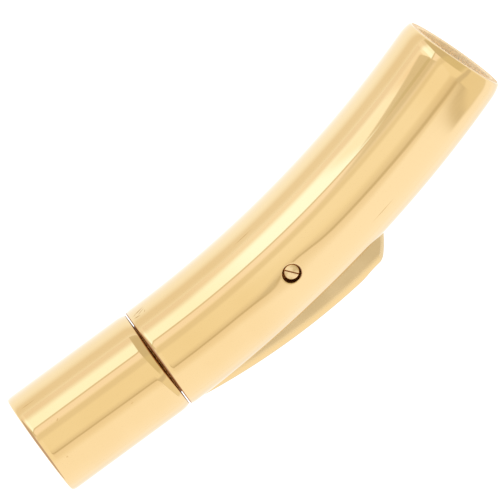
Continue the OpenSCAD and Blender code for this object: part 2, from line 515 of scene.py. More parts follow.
@dataclass
class Plug(Part):
    """The short straight sleeve, with its collar and the grooved peg, turned about the tube's axis.

    Its profile has four stretches: the cord bore, the end face, the outside and the peg.
    """

    length: float = PLUG_LENGTH
    half_gap: float = 0.125
    bore_r: float = 3.1
    bore_depth: float = 7.4
    rim_w: float = 0.12
    collar_r: float = 2.85
    collar_reach: float = 0.5
    peg_r: float = 1.7
    peg_reach: float = 6.9
    nose_len: float = 0.8
    nose_r: float = 1.0
    groove_r: float = 1.1
    groove_at: Pair = (3.05, 4.45)
    soft: float = 0.06
    columns: int = 192
    outer_edge: BuffedEdge = BuffedEdge(reach=0.6)
    seam_edge: BuffedEdge = BuffedEdge(round_r=0.3, slope_deg=20.0, power=1.5, reach=0.85, steep_steps=8)
    buffed_deg: float = 111.0
    least_round: float = 0.15

    NAME = "plug_sleeve"
    BODY = "clasp_body"
    NODE = "plug"
    FACE_STEPS = 4
    OUTSIDE_STEPS = 40
    PEG_STEPS = (6, 4, 1, 5, 10, 1, 3, 6, 3, 1, 6, 4, 4)

    def draw(self) -> None:
        """Carries the four stretches of the profile round the axis.

        The round at the seam grows with the fourth power of the cosine of the angle from its broadest place.
        """
        self.angle = np.linspace(0, 2 * math.pi, self.columns + 1)
        broad = np.cos(self.angle - math.radians(self.buffed_deg)) ** 4
        scale = self.least_round + (1 - self.least_round) * broad
        self.seam_at, self.seam_drop = self.seam_edge.profile(scale)
        self.outer_at, self.outer_drop = self.outer_edge.profile(np.ones(1))
        # The peg's stretch, which holds the seam's steep edge and face and the collar, is painted dark as
        # the seam's shade.
        for profile, face in ((self.bore(), Face.TURNED), (self.end_face(), Face.RIM),
                              (self.outside(), Face.POLISHED), (self.peg(), Face.SHADE_PAINTED_GAP)):
            s, radius = profile
            grid = self.line.ring(s, self.angle[None], radius)
            chart = np.stack([s, np.broadcast_to(self.angle * self.line.radius, s.shape)], -1)
            wear = np.maximum(self.outer_edge.wear(np.abs(s + self.length)),
                              self.seam_edge.wear(np.abs(s + self.half_gap)))
            self.skin.add(grid, face, chart=chart, edge=wear * (face is Face.POLISHED))

    def rows(self, *parts: Array) -> Array:
        """Stretches one after the other, where a plain list of values holds in every column."""
        grids = [part if part.ndim == 2 else part[:, None] for part in parts]
        return np.concatenate([np.broadcast_to(grid, (len(grid), len(self.angle))) for grid in grids])

    def bore(self) -> tuple[Array, Array]:
        """Profile of the cord bore, from the middle of its floor to its rim.

        Returns:
            Distances along the tube and radii, two (rows, columns) grids.
        """
        floor_r = spread([0, self.bore_r], [BORE_FLOOR_STEPS])
        floor_s = np.full(len(floor_r), -self.length + self.bore_depth)
        wall_s = spread([floor_s[0], -self.length + self.rim_w], [BORE_WALL_STEPS])[1:]
        return self.rows(floor_s, wall_s), self.rows(floor_r, np.full(len(wall_s), self.bore_r))

    def end_face(self) -> tuple[Array, Array]:
        """Profile of the bore's rounded rim and the end face, to the outer edge.

        Returns:
            Distances along the tube and radii, two (rows, columns) grids.
        """
        depth, radius = rim(self.bore_r, self.rim_w)
        edge_r = self.line.radius - float(self.outer_drop[0, 0])
        face_r = spread([self.bore_r + self.rim_w, edge_r], [self.FACE_STEPS])[1:]
        return (self.rows(-self.length + depth[::-1], np.full(len(face_r), -self.length)),
                self.rows(radius[::-1], face_r))

    def outside(self) -> tuple[Array, Array]:
        """Profile of the outer face, round both buffed edges to the steep part at the seam.

        Returns:
            Distances along the tube and radii, two (rows, columns) grids.
        """
        last = slice(None, self.seam_edge.steep_steps - 1, -1)
        ends = [-self.length + self.outer_edge.reach, -self.half_gap - self.seam_edge.reach]
        middle = spread(ends, [self.OUTSIDE_STEPS])[1:-1]
        s = self.rows(-self.length + self.outer_at, middle, -self.half_gap - self.seam_at[last])
        return s, self.line.radius - self.rows(self.outer_drop, middle * 0, self.seam_drop[last])

    def peg(self) -> tuple[Array, Array]:
        """Profile of the seam's steep edge and face, the collar and the grooved peg, to its tip's middle.

        Returns:
            Distances along the tube and radii, two (rows, columns) grids.
        """
        steep = slice(self.seam_edge.steep_steps, 0, -1)
        start, end = self.groove_at
        seam_r = self.line.radius - float(self.seam_drop[0].min())
        nodes = [(-self.half_gap, seam_r), (-self.half_gap, self.collar_r),
                 (self.collar_reach - self.soft, self.collar_r),
                 (self.collar_reach, self.collar_r - self.soft), (self.collar_reach, self.peg_r),
                 (start - self.soft, self.peg_r), (start, self.peg_r - self.soft), (start, self.groove_r),
                 (end, self.groove_r), (end, self.peg_r - self.soft), (end + self.soft, self.peg_r),
                 (self.peg_reach - self.nose_len, self.peg_r), (self.peg_reach, self.nose_r),
                 (self.peg_reach, 0)]
        points = along(nodes, self.PEG_STEPS)[1:]
        s = self.rows(-self.half_gap - self.seam_at[steep], np.full(1, -self.half_gap), points[:, 0])
        drops = self.rows(self.seam_drop[steep], self.seam_drop[:1])
        return s, np.concatenate([self.line.radius - drops, self.rows(points[:, 1])])


@dataclass
class SocketTube(Part):
    """The long bent tube, with the slot for the lever, the screw hole and the bores at both ends."""

    pivot: Pair
    face_s: float = -0.02
    cord_bore_r: float = 3.1
    cord_bore_depth: float = 8.0
    rim_w: float = 0.12
    counterbore_r: float = 2.95
    counterbore_reach: float = 0.6
    counterbore_rim: float = 0.05
    guide_r: float = 1.8
    guide_reach: float = 7.6
    slot_half_w: float = 1.3
    slot_front_x: float = 1.05
    slot_rear_x: float = 18.9
    slot_edge: float = 0.06
    pocket_r: float = 1.95
    pocket_from: float = 9.0
    rear_floor_y: float = 1.1
    screw_hole_r: float = 0.7
    screw_lip: float = 0.07
    screw_floor_z: float = 2.68
    shank_hole_r: float = 0.53
    shank_end_z: float = -2.9
    field_s: float = 1.9
    field_deg: float = 28.0
    dish_depth: float = 0.06
    dish_along: float = 2.2
    dish_across: float = 0.85
    dish_back: float = 0.25
    lip_wear: float = 0.15
    seam_edge: BuffedEdge = BuffedEdge(round_r=0.12, reach=0.55, steep_steps=8)
    mouth_edge: BuffedEdge = BuffedEdge(round_r=0.18, slope_deg=20.0, power=1.6, reach=1.3)
    mouth_lean_deg: float = 1.25
    mouth_lean_reach: float = 2.5

    NAME = "socket_tube_body"
    BODY = "clasp_body"
    NODE = "socket_tube"
    SLOT_COLUMNS = 10
    SIDE_COLUMNS = 21
    FIELD_COLUMNS = 28
    BACK_COLUMNS = 110
    LIP_COLUMNS = 4
    STATION_STEPS = (34, 8, 3, 28, 28, 56)
    WALL_BREAKS = (0, 0.56, 0.83, 1)
    WALL_STEPS = (8, 8, 3)
    HOLE_HALF = 7
    HOLE_RINGS = 4
    RIM_STEPS = 4
    SEAM_STEPS = 6
    SHORT_STEPS = 3
    LIP_STEPS = 6
    SEAT_STEPS = 4
    FIELD_RINGS = 22
    FIELD_CROWDING = 0.8

    def __post_init__(self) -> None:
        """Works out the stations along the tube and the columns around it."""
        r, bend = self.line.radius, self.line.bend_r
        self.pivot_s = float(self.line.chart(np.array(self.pivot))[0])
        self.slot_q = -math.sqrt(r ** 2 - self.slot_half_w ** 2)
        slot_from, slot_to = (bend * math.asin(x / (bend - self.slot_q))
                              for x in (self.slot_front_x, self.slot_rear_x))
        skin_edge = math.asin(self.slot_half_w / r) + self.slot_edge / r
        low, high = (math.radians(90 + side * self.field_deg) for side in (-1, 1))
        self.angles = spread([0, skin_edge, low, high, 2 * math.pi - skin_edge, 2 * math.pi],
                             [self.SLOT_COLUMNS, self.SIDE_COLUMNS, self.FIELD_COLUMNS, self.BACK_COLUMNS,
                              self.SLOT_COLUMNS])
        (at, drop), (mouth_at, mouth_drop) = (
            edge.profile(np.ones(1)) for edge in (self.seam_edge, self.mouth_edge))
        breaks = [slot_from, self.guide_reach, self.pocket_from, self.pivot_s - self.field_s,
                  self.pivot_s + self.field_s, slot_to, self.line.bend_len - self.mouth_edge.reach]
        middle = spread(breaks, self.STATION_STEPS)[:-1]
        mouth_s = self.line.bend_len - mouth_at[::-1, 0]
        self.stations = np.concatenate([self.face_s + at[:, 0], middle, mouth_s])
        self.drop = np.concatenate([drop[:, 0], middle * 0, mouth_drop[::-1, 0]])
        marks = [len(at) + sum(self.STATION_STEPS[:k]) for k in range(len(breaks))]
        self.slot_rows = slice(marks[0], marks[5])
        self.field_rows = slice(marks[3], marks[4])
        self.guide_steps, self.floor_steps = self.STATION_STEPS[0], self.STATION_STEPS[1:5]
        field_from = self.SLOT_COLUMNS + self.SIDE_COLUMNS
        self.field_cols = slice(field_from, field_from + self.FIELD_COLUMNS)
        self.wall_columns = 2 * (self.SLOT_COLUMNS + self.LIP_COLUMNS)
        turn = self.line.bend_len / bend
        self.mouth_axis = np.array([math.cos(turn), math.sin(turn), 0])

    def draw(self) -> None:
        """Adds the outside, the mouth, the seam end, the slot and the screw hole."""
        self.outer = self.outside()
        self.mouth()
        self.seam_end()
        self.slot()
        self.screw_hole()

    def dish(self, s: Array, angle: Array) -> Array:
        """Depth of the shallow buffed dish round the screw: a bell curve along the tube and across it.

        Args:
            s: Arc length.
            angle: Angle around the tube.

        Returns:
            The depth at each place.
        """
        across = (angle - math.pi / 2) * self.line.radius
        run = s - self.pivot_s + self.dish_back
        return self.dish_depth * np.exp(-(run / self.dish_along) ** 2 - (across / self.dish_across) ** 2)

    def surface(self, s: Array, angle: Array, drop: Array) -> Array:
        """Outer surface: the tube's radius less the drop at the ends and less the dish round the screw."""
        return self.line.ring(s, angle, self.line.radius - drop - self.dish(s, angle))

    def leaned(self, points: Array, behind: Array) -> Array:
        """Points moved back along the mouth's axis by height times the lean's tangent, fading behind it."""
        lean = soft_step(1 - behind / self.mouth_lean_reach) * math.tan(math.radians(self.mouth_lean_deg))
        return points - (lean[:, None] * points[..., 2])[..., None] * self.mouth_axis

    def outside(self) -> Array:
        """Adds the whole outer skin but for the slot and the field round the screw.

        Returns:
            The skin's grid of points.
        """
        s, angle = np.meshgrid(self.stations, self.angles, indexing="ij")
        grid = self.leaned(self.surface(s, angle, self.drop[:, None]), self.line.bend_len - self.stations)
        grid[:, -1] = grid[:, 0]
        keep = all_faces(grid)
        keep[self.slot_rows, :self.SLOT_COLUMNS] = False
        keep[self.slot_rows, -self.SLOT_COLUMNS:] = False
        keep[self.field_rows, self.field_cols] = False
        wear = np.maximum(self.seam_edge.wear(np.abs(s - self.face_s)),
                          self.mouth_edge.wear(np.abs(s - self.line.bend_len)))
        chart = np.stack([s, angle * self.line.radius], -1)
        steep = self.seam_edge.steep_steps
        # The seam's steep rows are painted dark as the seam's shade.
        self.skin.add(grid[:steep + 1], Face.SHADE_PAINTED_GAP)
        self.skin.add(grid[steep:], Face.POLISHED, keep=keep[steep:], chart=chart[steep:], edge=wear[steep:])
        return grid

    def mouth(self) -> None:
        """Adds the rim face and the cord bore at the mouth, turned about the line's last direction."""
        depth, radius = rim(self.cord_bore_r, self.rim_w)
        floor_r = spread([0, self.cord_bore_r], [BORE_FLOOR_STEPS])[::-1]
        wall = spread([self.rim_w, self.cord_bore_depth], [BORE_WALL_STEPS])[1:-1]
        depths = np.concatenate([depth, wall, np.full(len(floor_r), self.cord_bore_depth)])
        radii = np.concatenate([radius, np.full(len(wall), self.cord_bore_r), floor_r])
        first = self.line.ring(self.line.bend_len, self.angles[None], radii[:, None])
        bore = self.leaned(first - depths[:, None, None] * self.mouth_axis, depths)
        self.skin.add(ruled(self.outer[-1], bore[0], self.RIM_STEPS), Face.RIM)
        chart = np.meshgrid(depths, self.angles * self.cord_bore_r, indexing="ij")
        # The mouth's bore takes the turned colour, raised paler as painted light.
        self.skin.add(bore, Face.TURNED, chart=np.stack(chart, -1))

    def guide_angles(self) -> Array:
        """Angles of the guide bore's columns, with an even stretch of them across the slot.

        Returns:
            As many angles as the outer skin has.
        """
        slot = math.asin(self.slot_half_w / self.guide_r)
        half = self.wall_columns // 2
        rest = len(self.angles) - 1 - self.wall_columns
        return spread([0, slot, 2 * math.pi - slot, 2 * math.pi], [half, rest, half])

    def seam_end(self) -> None:
        """Adds the seam face, the counterbore and the guide bore that the slot opens on the convex side."""
        depth, radius = rim(self.counterbore_r, self.counterbore_rim, self.SHORT_STEPS)
        radii = np.append(radius, self.counterbore_r)
        places = np.append(self.face_s + depth, self.counterbore_reach)
        face = self.line.ring(places[:, None], self.angles[None], radii[:, None])
        angle = self.guide_angles()
        ring = np.stack([-self.guide_r * np.cos(angle), self.guide_r * np.sin(angle)], -1)
        ring[-1] = ring[0]
        run = spread([self.counterbore_reach, self.slot_front_x], [self.SHORT_STEPS])
        before = self.guide_rings(ring, run)
        seam_face = ruled(self.outer[0], face[0], self.SEAM_STEPS)
        shoulder = ruled(face[-1], before[0], self.SHORT_STEPS)
        # The seam face, counterbore, shoulder and guide bore are painted dark as shade.
        for grid in (seam_face, face, shoulder, before):
            self.skin.add(grid, Face.SHADE_PAINTED_GAP)
        inside = self.guide_rings(ring, spread([self.slot_front_x, self.guide_reach], [self.guide_steps]))
        half = self.wall_columns // 2
        keep = all_faces(inside)
        keep[:, :half] = keep[:, -half:] = False
        self.skin.add(inside, Face.SHADE_PAINTED_GAP, keep=keep)
        last = inside[-1].copy()
        across = np.linspace(0, self.slot_half_w, half + 1)
        last[:half + 1, 1], last[:half + 1, 2] = self.guide_y(), across
        last[-half - 1:, 1], last[-half - 1:, 2] = self.guide_y(), -across[::-1]
        centre = np.broadcast_to([self.guide_reach, 0, 0], last.shape)
        self.skin.add(ruled(last, centre, self.SHORT_STEPS), Face.SHADE_PAINTED_GAP)

    def guide_rings(self, ring: Array, x: Array) -> Array:
        """Copies of a ring of (y, z) points at the places x along the plug's straight axis."""
        rows = np.broadcast_to(ring, (len(x), *ring.shape))
        return np.concatenate([np.broadcast_to(x[:, None, None], (*rows.shape[:2], 1)), rows], -1)

    def guide_y(self) -> float:
        """Height of the line on which the slot's side walls meet the guide bore."""
        return -math.sqrt(self.guide_r ** 2 - self.slot_half_w ** 2)

    def floor_line(self) -> Array:
        """Inner outline of the slot in plan, from its front wall to its rear wall.

        It follows the guide bore's opening, a short floor, the step up to the hub's pocket, the pocket's
        arc and the rear floor.

        Returns:
            Plan points, (n, 2).
        """
        px, py = self.pivot
        front = (self.slot_front_x, self.guide_y())
        step_x = px - self.pocket_r
        lead = along([front, (self.guide_reach, front[1]), (step_x, front[1]), (step_x, py)],
                     [self.guide_steps, *self.floor_steps[:2]])
        stop = math.asin((self.rear_floor_y - py) / self.pocket_r)
        turn = np.linspace(math.pi, stop, self.floor_steps[2] + 1)[1:]
        arc = np.stack([px + self.pocket_r * np.cos(turn), py + self.pocket_r * np.sin(turn)], -1)
        rear = along([tuple(arc[-1]), (self.slot_rear_x, self.rear_floor_y)], [self.floor_steps[3]])[1:]
        return np.concatenate([lead, arc, rear])

    def burr(self, s: Array) -> Array:
        """Uneven width of the slot's softened edges: 1 plus the product of two sines and a finer sine."""
        return 1 + 0.35 * np.sin(9.1 * s) * np.sin(3.7 * s + 1) + 0.25 * np.sin(23.0 * s + 2)

    def slot(self) -> None:
        """Adds the slot's softened edges, side walls, floor and end walls.

        A softened edge is a curve of the second degree from the skin to the wall, drawn to the sharp corner.
        """
        rows = slice(self.slot_rows.start, self.slot_rows.stop + 1)
        s = self.stations[rows]
        floor = self.floor_line()
        lips = []
        for side in (1, -1):
            z = side * self.slot_half_w
            start = self.outer[rows, self.SLOT_COLUMNS if side > 0 else -1 - self.SLOT_COLUMNS]
            corner = plan(self.line.offset(s, self.slot_q), z)
            wall_top = plan(self.line.offset(s, self.slot_q + self.slot_edge * self.burr(s)), z)
            t = np.linspace(0, 1, self.LIP_COLUMNS + 1)[:, None, None]
            lip = (1 - t) ** 2 * start + 2 * t * (1 - t) * corner + t ** 2 * wall_top
            self.skin.add(lip, Face.POLISHED, edge=np.ones(lip.shape[:2]))
            lips.append(lip)
            self.side_wall(wall_top, plan(floor, z))
        columns = np.linspace(-self.slot_half_w, self.slot_half_w, self.wall_columns + 1)
        strip = plan(floor[self.guide_steps:, None], columns[None])
        # The slot's floor and end walls are painted dark as the slot's shade.
        self.skin.add(strip, Face.SHADE_PAINTED_GAP)
        self.end_wall(self.outer[rows][0], [lip[:, 0] for lip in lips], self.guide_arc())
        self.end_wall(self.outer[rows][-1], [lip[:, -1] for lip in lips], strip[-1])

    def guide_arc(self) -> Array:
        """The guide bore's edge across the slot, from the lower side wall to the upper one.

        Returns:
            Points, (n, 3).
        """
        half = self.wall_columns // 2
        angles = self.guide_angles()
        angle = np.concatenate([angles[-half - 1:-1] - 2 * math.pi, angles[:half + 1]])
        y, z = -self.guide_r * np.cos(angle), self.guide_r * np.sin(angle)
        return np.stack([np.full(len(y), self.slot_front_x), y, z], -1)

    def end_wall(self, ring: Array, lips: list[Array], bottom: Array) -> None:
        """Adds an end wall of the slot, from the outer skin over both softened edges down to its floor.

        Args:
            ring: The outer skin's ring at this end of the slot.
            lips: The ends of the upper and the lower softened edge, each from the skin to the wall.
            bottom: The wall's lower edge, from the lower side wall to the upper one.
        """
        arc = np.concatenate([ring[-1 - self.SLOT_COLUMNS:-1], ring[:self.SLOT_COLUMNS + 1]])
        top = np.concatenate([lips[1][::-1], arc[1:-1], lips[0]])
        share = np.linspace(0, 1, len(top))[:, None]
        middle = (1 - share) * top[0] + share * top[-1]
        self.skin.add(np.stack([top, middle]), Face.SHADE_PAINTED_GAP)
        self.skin.add(ruled(middle, bottom, self.wall_shares()), Face.SHADE_PAINTED_GAP)

    def wall_shares(self) -> Array:
        """Places of the side walls' rows, with a finer stretch round the screw's shank."""
        return spread(self.WALL_BREAKS, self.WALL_STEPS)

    def side_wall(self, top: Array, bottom: Array) -> None:
        """Adds one flat side wall of the slot, and the hole for the screw's shank behind it.

        Args:
            top: The wall's upper edge, (n, 3).
            bottom: The wall's lower edge, (n, 3).
        """
        middle = column_beyond(bottom, self.pivot)
        above, beside, _ = self.WALL_STEPS
        block = (slice(above, above + beside), slice(middle - self.HOLE_HALF, middle + self.HOLE_HALF))
        grid = ruled(top, bottom, self.wall_shares())
        # The side wall and the shank's hole are painted dark as shade.
        hole = self.skin.add_holed(grid, Face.SHADE_PAINTED_GAP, block, self.pivot, self.shank_hole_r, self.HOLE_RINGS)
        upper = top[0, 2] > 0
        far = plan(hole[:, :2], self.screw_floor_z if upper else self.shank_end_z)
        self.skin.band(hole, far, self.SHORT_STEPS, Face.SHADE_PAINTED_GAP)
        if upper:
            self.shank_ring = far
        else:
            self.skin.band(far, np.broadcast_to([*self.pivot, self.shank_end_z], far.shape), 1, Face.SHADE_PAINTED_GAP)

    def screw_hole(self) -> None:
        """Adds the field round the screw, the hole's rounded lip, its wall and the ledge under the head.

        The field's places on the skin run from the block's edge to the lip's circle by a power of the share.
        """
        s, angle = np.meshgrid(self.stations, self.angles, indexing="ij")
        loop = block_loop(np.stack([s, angle], -1), self.field_rows, self.field_cols)
        edge = block_loop(self.outer, self.field_rows, self.field_cols)
        way = bearing(edge, self.pivot)
        compass = np.stack([np.cos(way), np.sin(way)], -1)
        lip_r = self.screw_hole_r + self.screw_lip
        lip_s, lip_angle = self.line.chart(np.array(self.pivot) + lip_r * compass)
        share = np.linspace(0, 1, self.FIELD_RINGS + 1)[:, None] ** self.FIELD_CROWDING
        s = (1 - share) * loop[:, 0] + share * lip_s
        angle = (1 - share) * loop[:, 1] + share * lip_angle
        away = np.hypot(s - self.pivot_s, (angle - math.pi / 2) * self.line.radius) - lip_r
        near = np.clip(np.exp(-away / self.lip_wear), 0, 1)
        chart = np.stack([s, angle * self.line.radius], -1)
        grid = self.surface(s, angle, np.zeros(s.shape))
        grid[0] = edge
        self.skin.add(closed(grid), Face.POLISHED, chart=closed(chart), edge=closed(near))
        turn = np.linspace(0, math.pi / 2, self.LIP_STEPS + 1)[:, None]
        flat = np.array(self.pivot) + (lip_r - self.screw_lip * np.sin(turn))[..., None] * compass
        lip_z = self.surface(*self.line.chart(flat), np.zeros((len(turn), 1)))[..., 2]
        lip = plan(flat, lip_z - self.screw_lip * (1 - np.cos(turn)))
        lip[0] = grid[-1]
        self.skin.add(closed(lip), Face.POLISHED, edge=np.ones((len(lip), lip.shape[1] + 1)))
        seat = plan(lip[-1, :, :2], self.screw_floor_z)
        # The hole's wall and the ledge under the head are painted dark as shade.
        self.skin.band(lip[-1], seat, self.SEAT_STEPS, Face.SHADE_PAINTED_GAP)
        self.ledge(seat)

    def ledge(self, seat: Array) -> None:
        """Adds the flat ledge between the head's hole and the shank's, whose loops have unlike counts.

        Each point of the head's hole is joined to the point as far round the shank's hole.

        Args:
            seat: The lower edge of the head's hole, (n, 3).
        """
        inner = self.shank_ring
        way, turn = (np.unwrap(bearing(loop, self.pivot)) for loop in (seat, inner))
        if (turn[1] - turn[0]) * (way[1] - way[0]) < 0:
            inner, turn = inner[::-1], turn[::-1]
        ahead = (turn - way[0]) * np.sign(way[1] - way[0]) % (2 * math.pi)
        inner = np.roll(inner, -int(np.argmin(ahead)), axis=0)
        pick = np.round(np.arange(len(seat)) * len(inner) / len(seat)).astype(int) % len(inner)
        self.skin.add(closed(np.stack([seat, inner[pick]])), Face.SHADE_PAINTED_GAP)


@dataclass
class Lever(Part):
    """The plate lever: a rounded crown swept along its arc, a hooked arm, a hub and a sloped tail."""

    pivot: Pair
    half_t: float = 1.2
    round_r: float = 0.9
    crown: Pair = (8.55, 46.63)
    crown_r: float = 51.297
    front_x: float = 1.15
    arm_y: float = -2.05
    hook_from: float = 3.15
    hook_to: float = 4.15
    hook_lead: float = 0.35
    hook_y: float = -1.25
    hub_r: float = 1.7
    hole_r: float = 0.56
    tail_run: float = 1.0
    tail_y: float = -0.8
    tail_x: float = 17.7
    back_lean: float = 0.75
    tail_corner: Pair = (17.2, -2.7)
    tail_slope_deg: float = 60.0
    nose_r: float = 1.8
    end_swell: float = 0.17
    end_lean_in: float = 0.45
    end_corner: float = 0.12
    end_run: float = 1.4
    end_height: float = 2.6
    end_corner_height: float = 0.35
    polish_and_light_from: float = 0.74
    end_polish_and_light: float = 0.6
    blend_w: float = 0.6

    NAME = "lever_plate"
    BODY = "lever"
    NODE = "lever"
    SIDE_STEPS = 18
    ROUND_STEPS = 12
    ACROSS_STEPS = 10
    ARM_STEPS = (10, 3, 4, 3, 20, 6)
    HUB_STEPS = 24
    TAIL_STEPS = (6, 24, 8)
    HOLE_ROWS = 4
    HOLE_COLUMNS = 8
    HOLE_RINGS = 3
    HOLE_STEPS = 4

    def draw(self) -> None:
        """Adds both sides, the crown, the inner edge, both ends and the hub's hole."""
        inner, lean = self.stations()
        across = np.linspace(1, -1, self.ACROSS_STEPS + 1)
        sheets = self.swelled(np.stack([self.sheet(inner, lean, flat) for flat in across]))
        # The flat sides are painted darker as shade, going over to the polished colour at the crown; the
        # tail's end takes a share part way.
        for half in (sheets[0], sheets[-1]):
            ring = self.side(half[:self.SIDE_STEPS + 1], inner)
            self.skin.add(half[self.SIDE_STEPS:], Face.SATIN_PAINTED_SHADE, polish=self.polish(half[self.SIDE_STEPS:]))
        self.skin.add(sheets[:, -1], Face.POLISHED)
        # The inner edge, the front end and the hub's hole are painted dark as the slot's shade.
        self.skin.add(sheets[:, 0], Face.SHADE_PAINTED_GAP)
        self.skin.add(sheets[:, :, 0], Face.SHADE_PAINTED_GAP)
        self.skin.add(sheets[:, :, -1], Face.SATIN_PAINTED_SHADE, polish=np.full(sheets.shape[:2], self.end_polish_and_light))
        self.skin.band(ring * np.array([1, 1, -1]), ring, self.HOLE_STEPS, Face.SHADE_PAINTED_GAP)

    def stations(self) -> tuple[Array, Array]:
        """The inner edge, from the front over the hook and round the hub to the end of the tail.

        Returns:
            Its points in plan, (n, 2), and how far each leans towards the tail's slope, from 0 to 1.
        """
        px, py = self.pivot
        hub_from, hub_to = px - self.hub_r, px + self.hub_r
        arm = along([(self.front_x, self.arm_y), (self.hook_from, self.arm_y),
                     (self.hook_from + self.hook_lead, self.hook_y), (self.hook_to, self.hook_y),
                     (self.hook_to, self.arm_y), (hub_from, self.arm_y), (hub_from, py)], self.ARM_STEPS)
        turn = np.linspace(math.pi, 0, self.HUB_STEPS + 1)[1:]
        hub = np.stack([px + self.hub_r * np.cos(turn), py + self.hub_r * np.sin(turn)], -1)
        corner_x, corner_y = self.tail_corner
        end_y = corner_y + (self.tail_x - corner_x) * math.tan(math.radians(self.tail_slope_deg))
        lean_from = hub_to + self.tail_run
        tail = along([(hub_to, py), (lean_from, self.tail_y), (self.tail_x, self.tail_y),
                      (self.tail_x, end_y)], self.TAIL_STEPS)[1:]
        inner = np.concatenate([arm, hub, tail])
        run = np.clip((inner[:, 0] - lean_from) / (self.tail_x - lean_from), 0, 1)
        lean = self.back_lean * run ** 2
        last = self.TAIL_STEPS[-1]
        lean[-last:] += (1 - self.back_lean) * np.linspace(0, 1, last + 1)[1:]
        return inner, lean

    def sheet(self, inner: Array, lean: Array, flat: float) -> Array:
        """Half of the section, from the inner edge over the flat side and the rounded edge, flattened.

        A point lies where the circle of its radius about the crown's centre meets its station's straight
        line. The line stands upright at the front and leans to the tail's slope at the end, where it also
        bulges with z.

        Args:
            inner: Inner edge's points in plan, (n, 2).
            lean: How far each station leans, (n,).
            flat: What the heights are multiplied by: 1 for the upper half and -1 for the lower one.

        Returns:
            A (rows, n, 3) grid.
        """
        flat_r = self.crown_r - self.round_r
        z = flat * self.half_t
        start, stop = self.shift(inner, lean, z), self.meet(inner, lean, flat_r, z)
        side = ruled(plan(start, z), plan(stop, z), self.SIDE_STEPS)[:-1]
        tau = np.linspace(0, math.pi / 2, self.ROUND_STEPS + 1)
        radii = flat_r + self.round_r * np.sin(tau)
        heights = flat * (self.half_t - self.round_r * (1 - np.cos(tau)))
        edge = [plan(self.meet(inner, lean, r, h), h) for r, h in zip(radii, heights)]
        return np.concatenate([side, np.stack(edge)])

    def swelled(self, points: Array) -> Array:
        """Points moved square to the tail's end line, less the further they lie from it.

        The end swells by a half wave along its line and leans in towards its outer corner on both flat
        sides, and the corner itself is rounded.

        Args:
            points: Points of the lever, (..., 3).

        Returns:
            The moved points, in the same shape.
        """
        slope = math.radians(90 - self.tail_slope_deg)
        out = np.array([math.cos(slope), -math.sin(slope)])
        behind = np.minimum((points[..., :2] - np.array(self.tail_corner)) @ out, 0)
        height = np.maximum(self.crown_r - self.from_crown(points), 0)
        share = np.clip(height / self.end_height, 0, 1)
        lean_in = self.end_lean_in * (1 - share) ** 2 * (points[..., 2] / self.half_t) ** 2
        rounding = self.end_corner * np.clip(1 - height / self.end_corner_height, 0, 1) ** 2
        move = self.end_swell * np.sin(math.pi * share) - lean_in - rounding
        moved = points.copy()
        moved[..., :2] += (move * soft_step(1 + behind / self.end_run))[..., None] * out
        return moved

    def from_crown(self, points: Array) -> Array:
        """Distance of each point in plan from the crown's centre."""
        return np.hypot(points[..., 0] - self.crown[0], points[..., 1] - self.crown[1])

    def slope(self, lean: Array) -> Array:
        """Angle of each station's line from upright, in radians."""
        return math.radians(90 - self.tail_slope_deg) * lean

    def shift(self, inner: Array, lean: Array, z: float) -> Array:
        """Inner edge's points, moved square to their lines by the tail's bulge.

        The bulge is the height of a circle of the nose's radius above its chord at the flat sides.

        Args:
            inner: Inner edge's points in plan, (n, 2).
            lean: How far each station leans, (n,).
            z: Height of the section.

        Returns:
            The moved points, (n, 2).
        """
        bulge = math.sqrt(self.nose_r ** 2 - z ** 2) - math.sqrt(self.nose_r ** 2 - self.half_t ** 2)
        slope = self.slope(lean)
        return inner + (lean * bulge)[:, None] * np.stack([np.cos(slope), -np.sin(slope)], -1)

    def meet(self, inner: Array, lean: Array, radius: float, z: float) -> Array:
        """Where each station's line meets a circle about the crown's centre: the root of a square equation.

        Args:
            inner: Inner edge's points in plan, (n, 2).
            lean: How far each station leans, (n,).
            radius: The circle's radius.
            z: Height of the section.

        Returns:
            Plan points, (n, 2).
        """
        slope = self.slope(lean)
        way = np.stack([-np.sin(slope), -np.cos(slope)], -1)
        start = self.shift(inner, lean, z) - np.array(self.crown)
        b = (start * way).sum(-1)
        c = (start ** 2).sum(-1) - radius ** 2
        return start + (np.sqrt(b ** 2 - c) - b)[:, None] * way + np.array(self.crown)

    def side(self, grid: Array, inner: Array) -> Array:
        """Adds one flat side with the hub's hole in it.

        Args:
            grid: The side's points, (rows, n, 3).
            inner: Inner edge's points in plan, (n, 2).

        Returns:
            The hole's edge, (m, 3).
        """
        middle = column_beyond(inner, self.pivot)
        row = int(np.argmin(np.abs(grid[:, middle, 1] - self.pivot[1])))
        block = (slice(max(row - self.HOLE_ROWS, 1), row + self.HOLE_ROWS + 1),
                 slice(middle - self.HOLE_COLUMNS, middle + self.HOLE_COLUMNS))
        return self.skin.add_holed(grid, Face.SATIN_PAINTED_SHADE, block, self.pivot, self.hole_r, self.HOLE_RINGS,
                                   self.polish(grid))

    def polish(self, points: Array) -> Array:
        """How polished the side is, by the radius: 0 on the flat, 1 on the crown, a soft step between."""
        # A low share means the darker satin colour, painted as the shade beside the tube.
        past = self.from_crown(points) - self.crown_r + self.polish_and_light_from
        return soft_step(past / self.blend_w + 0.5)


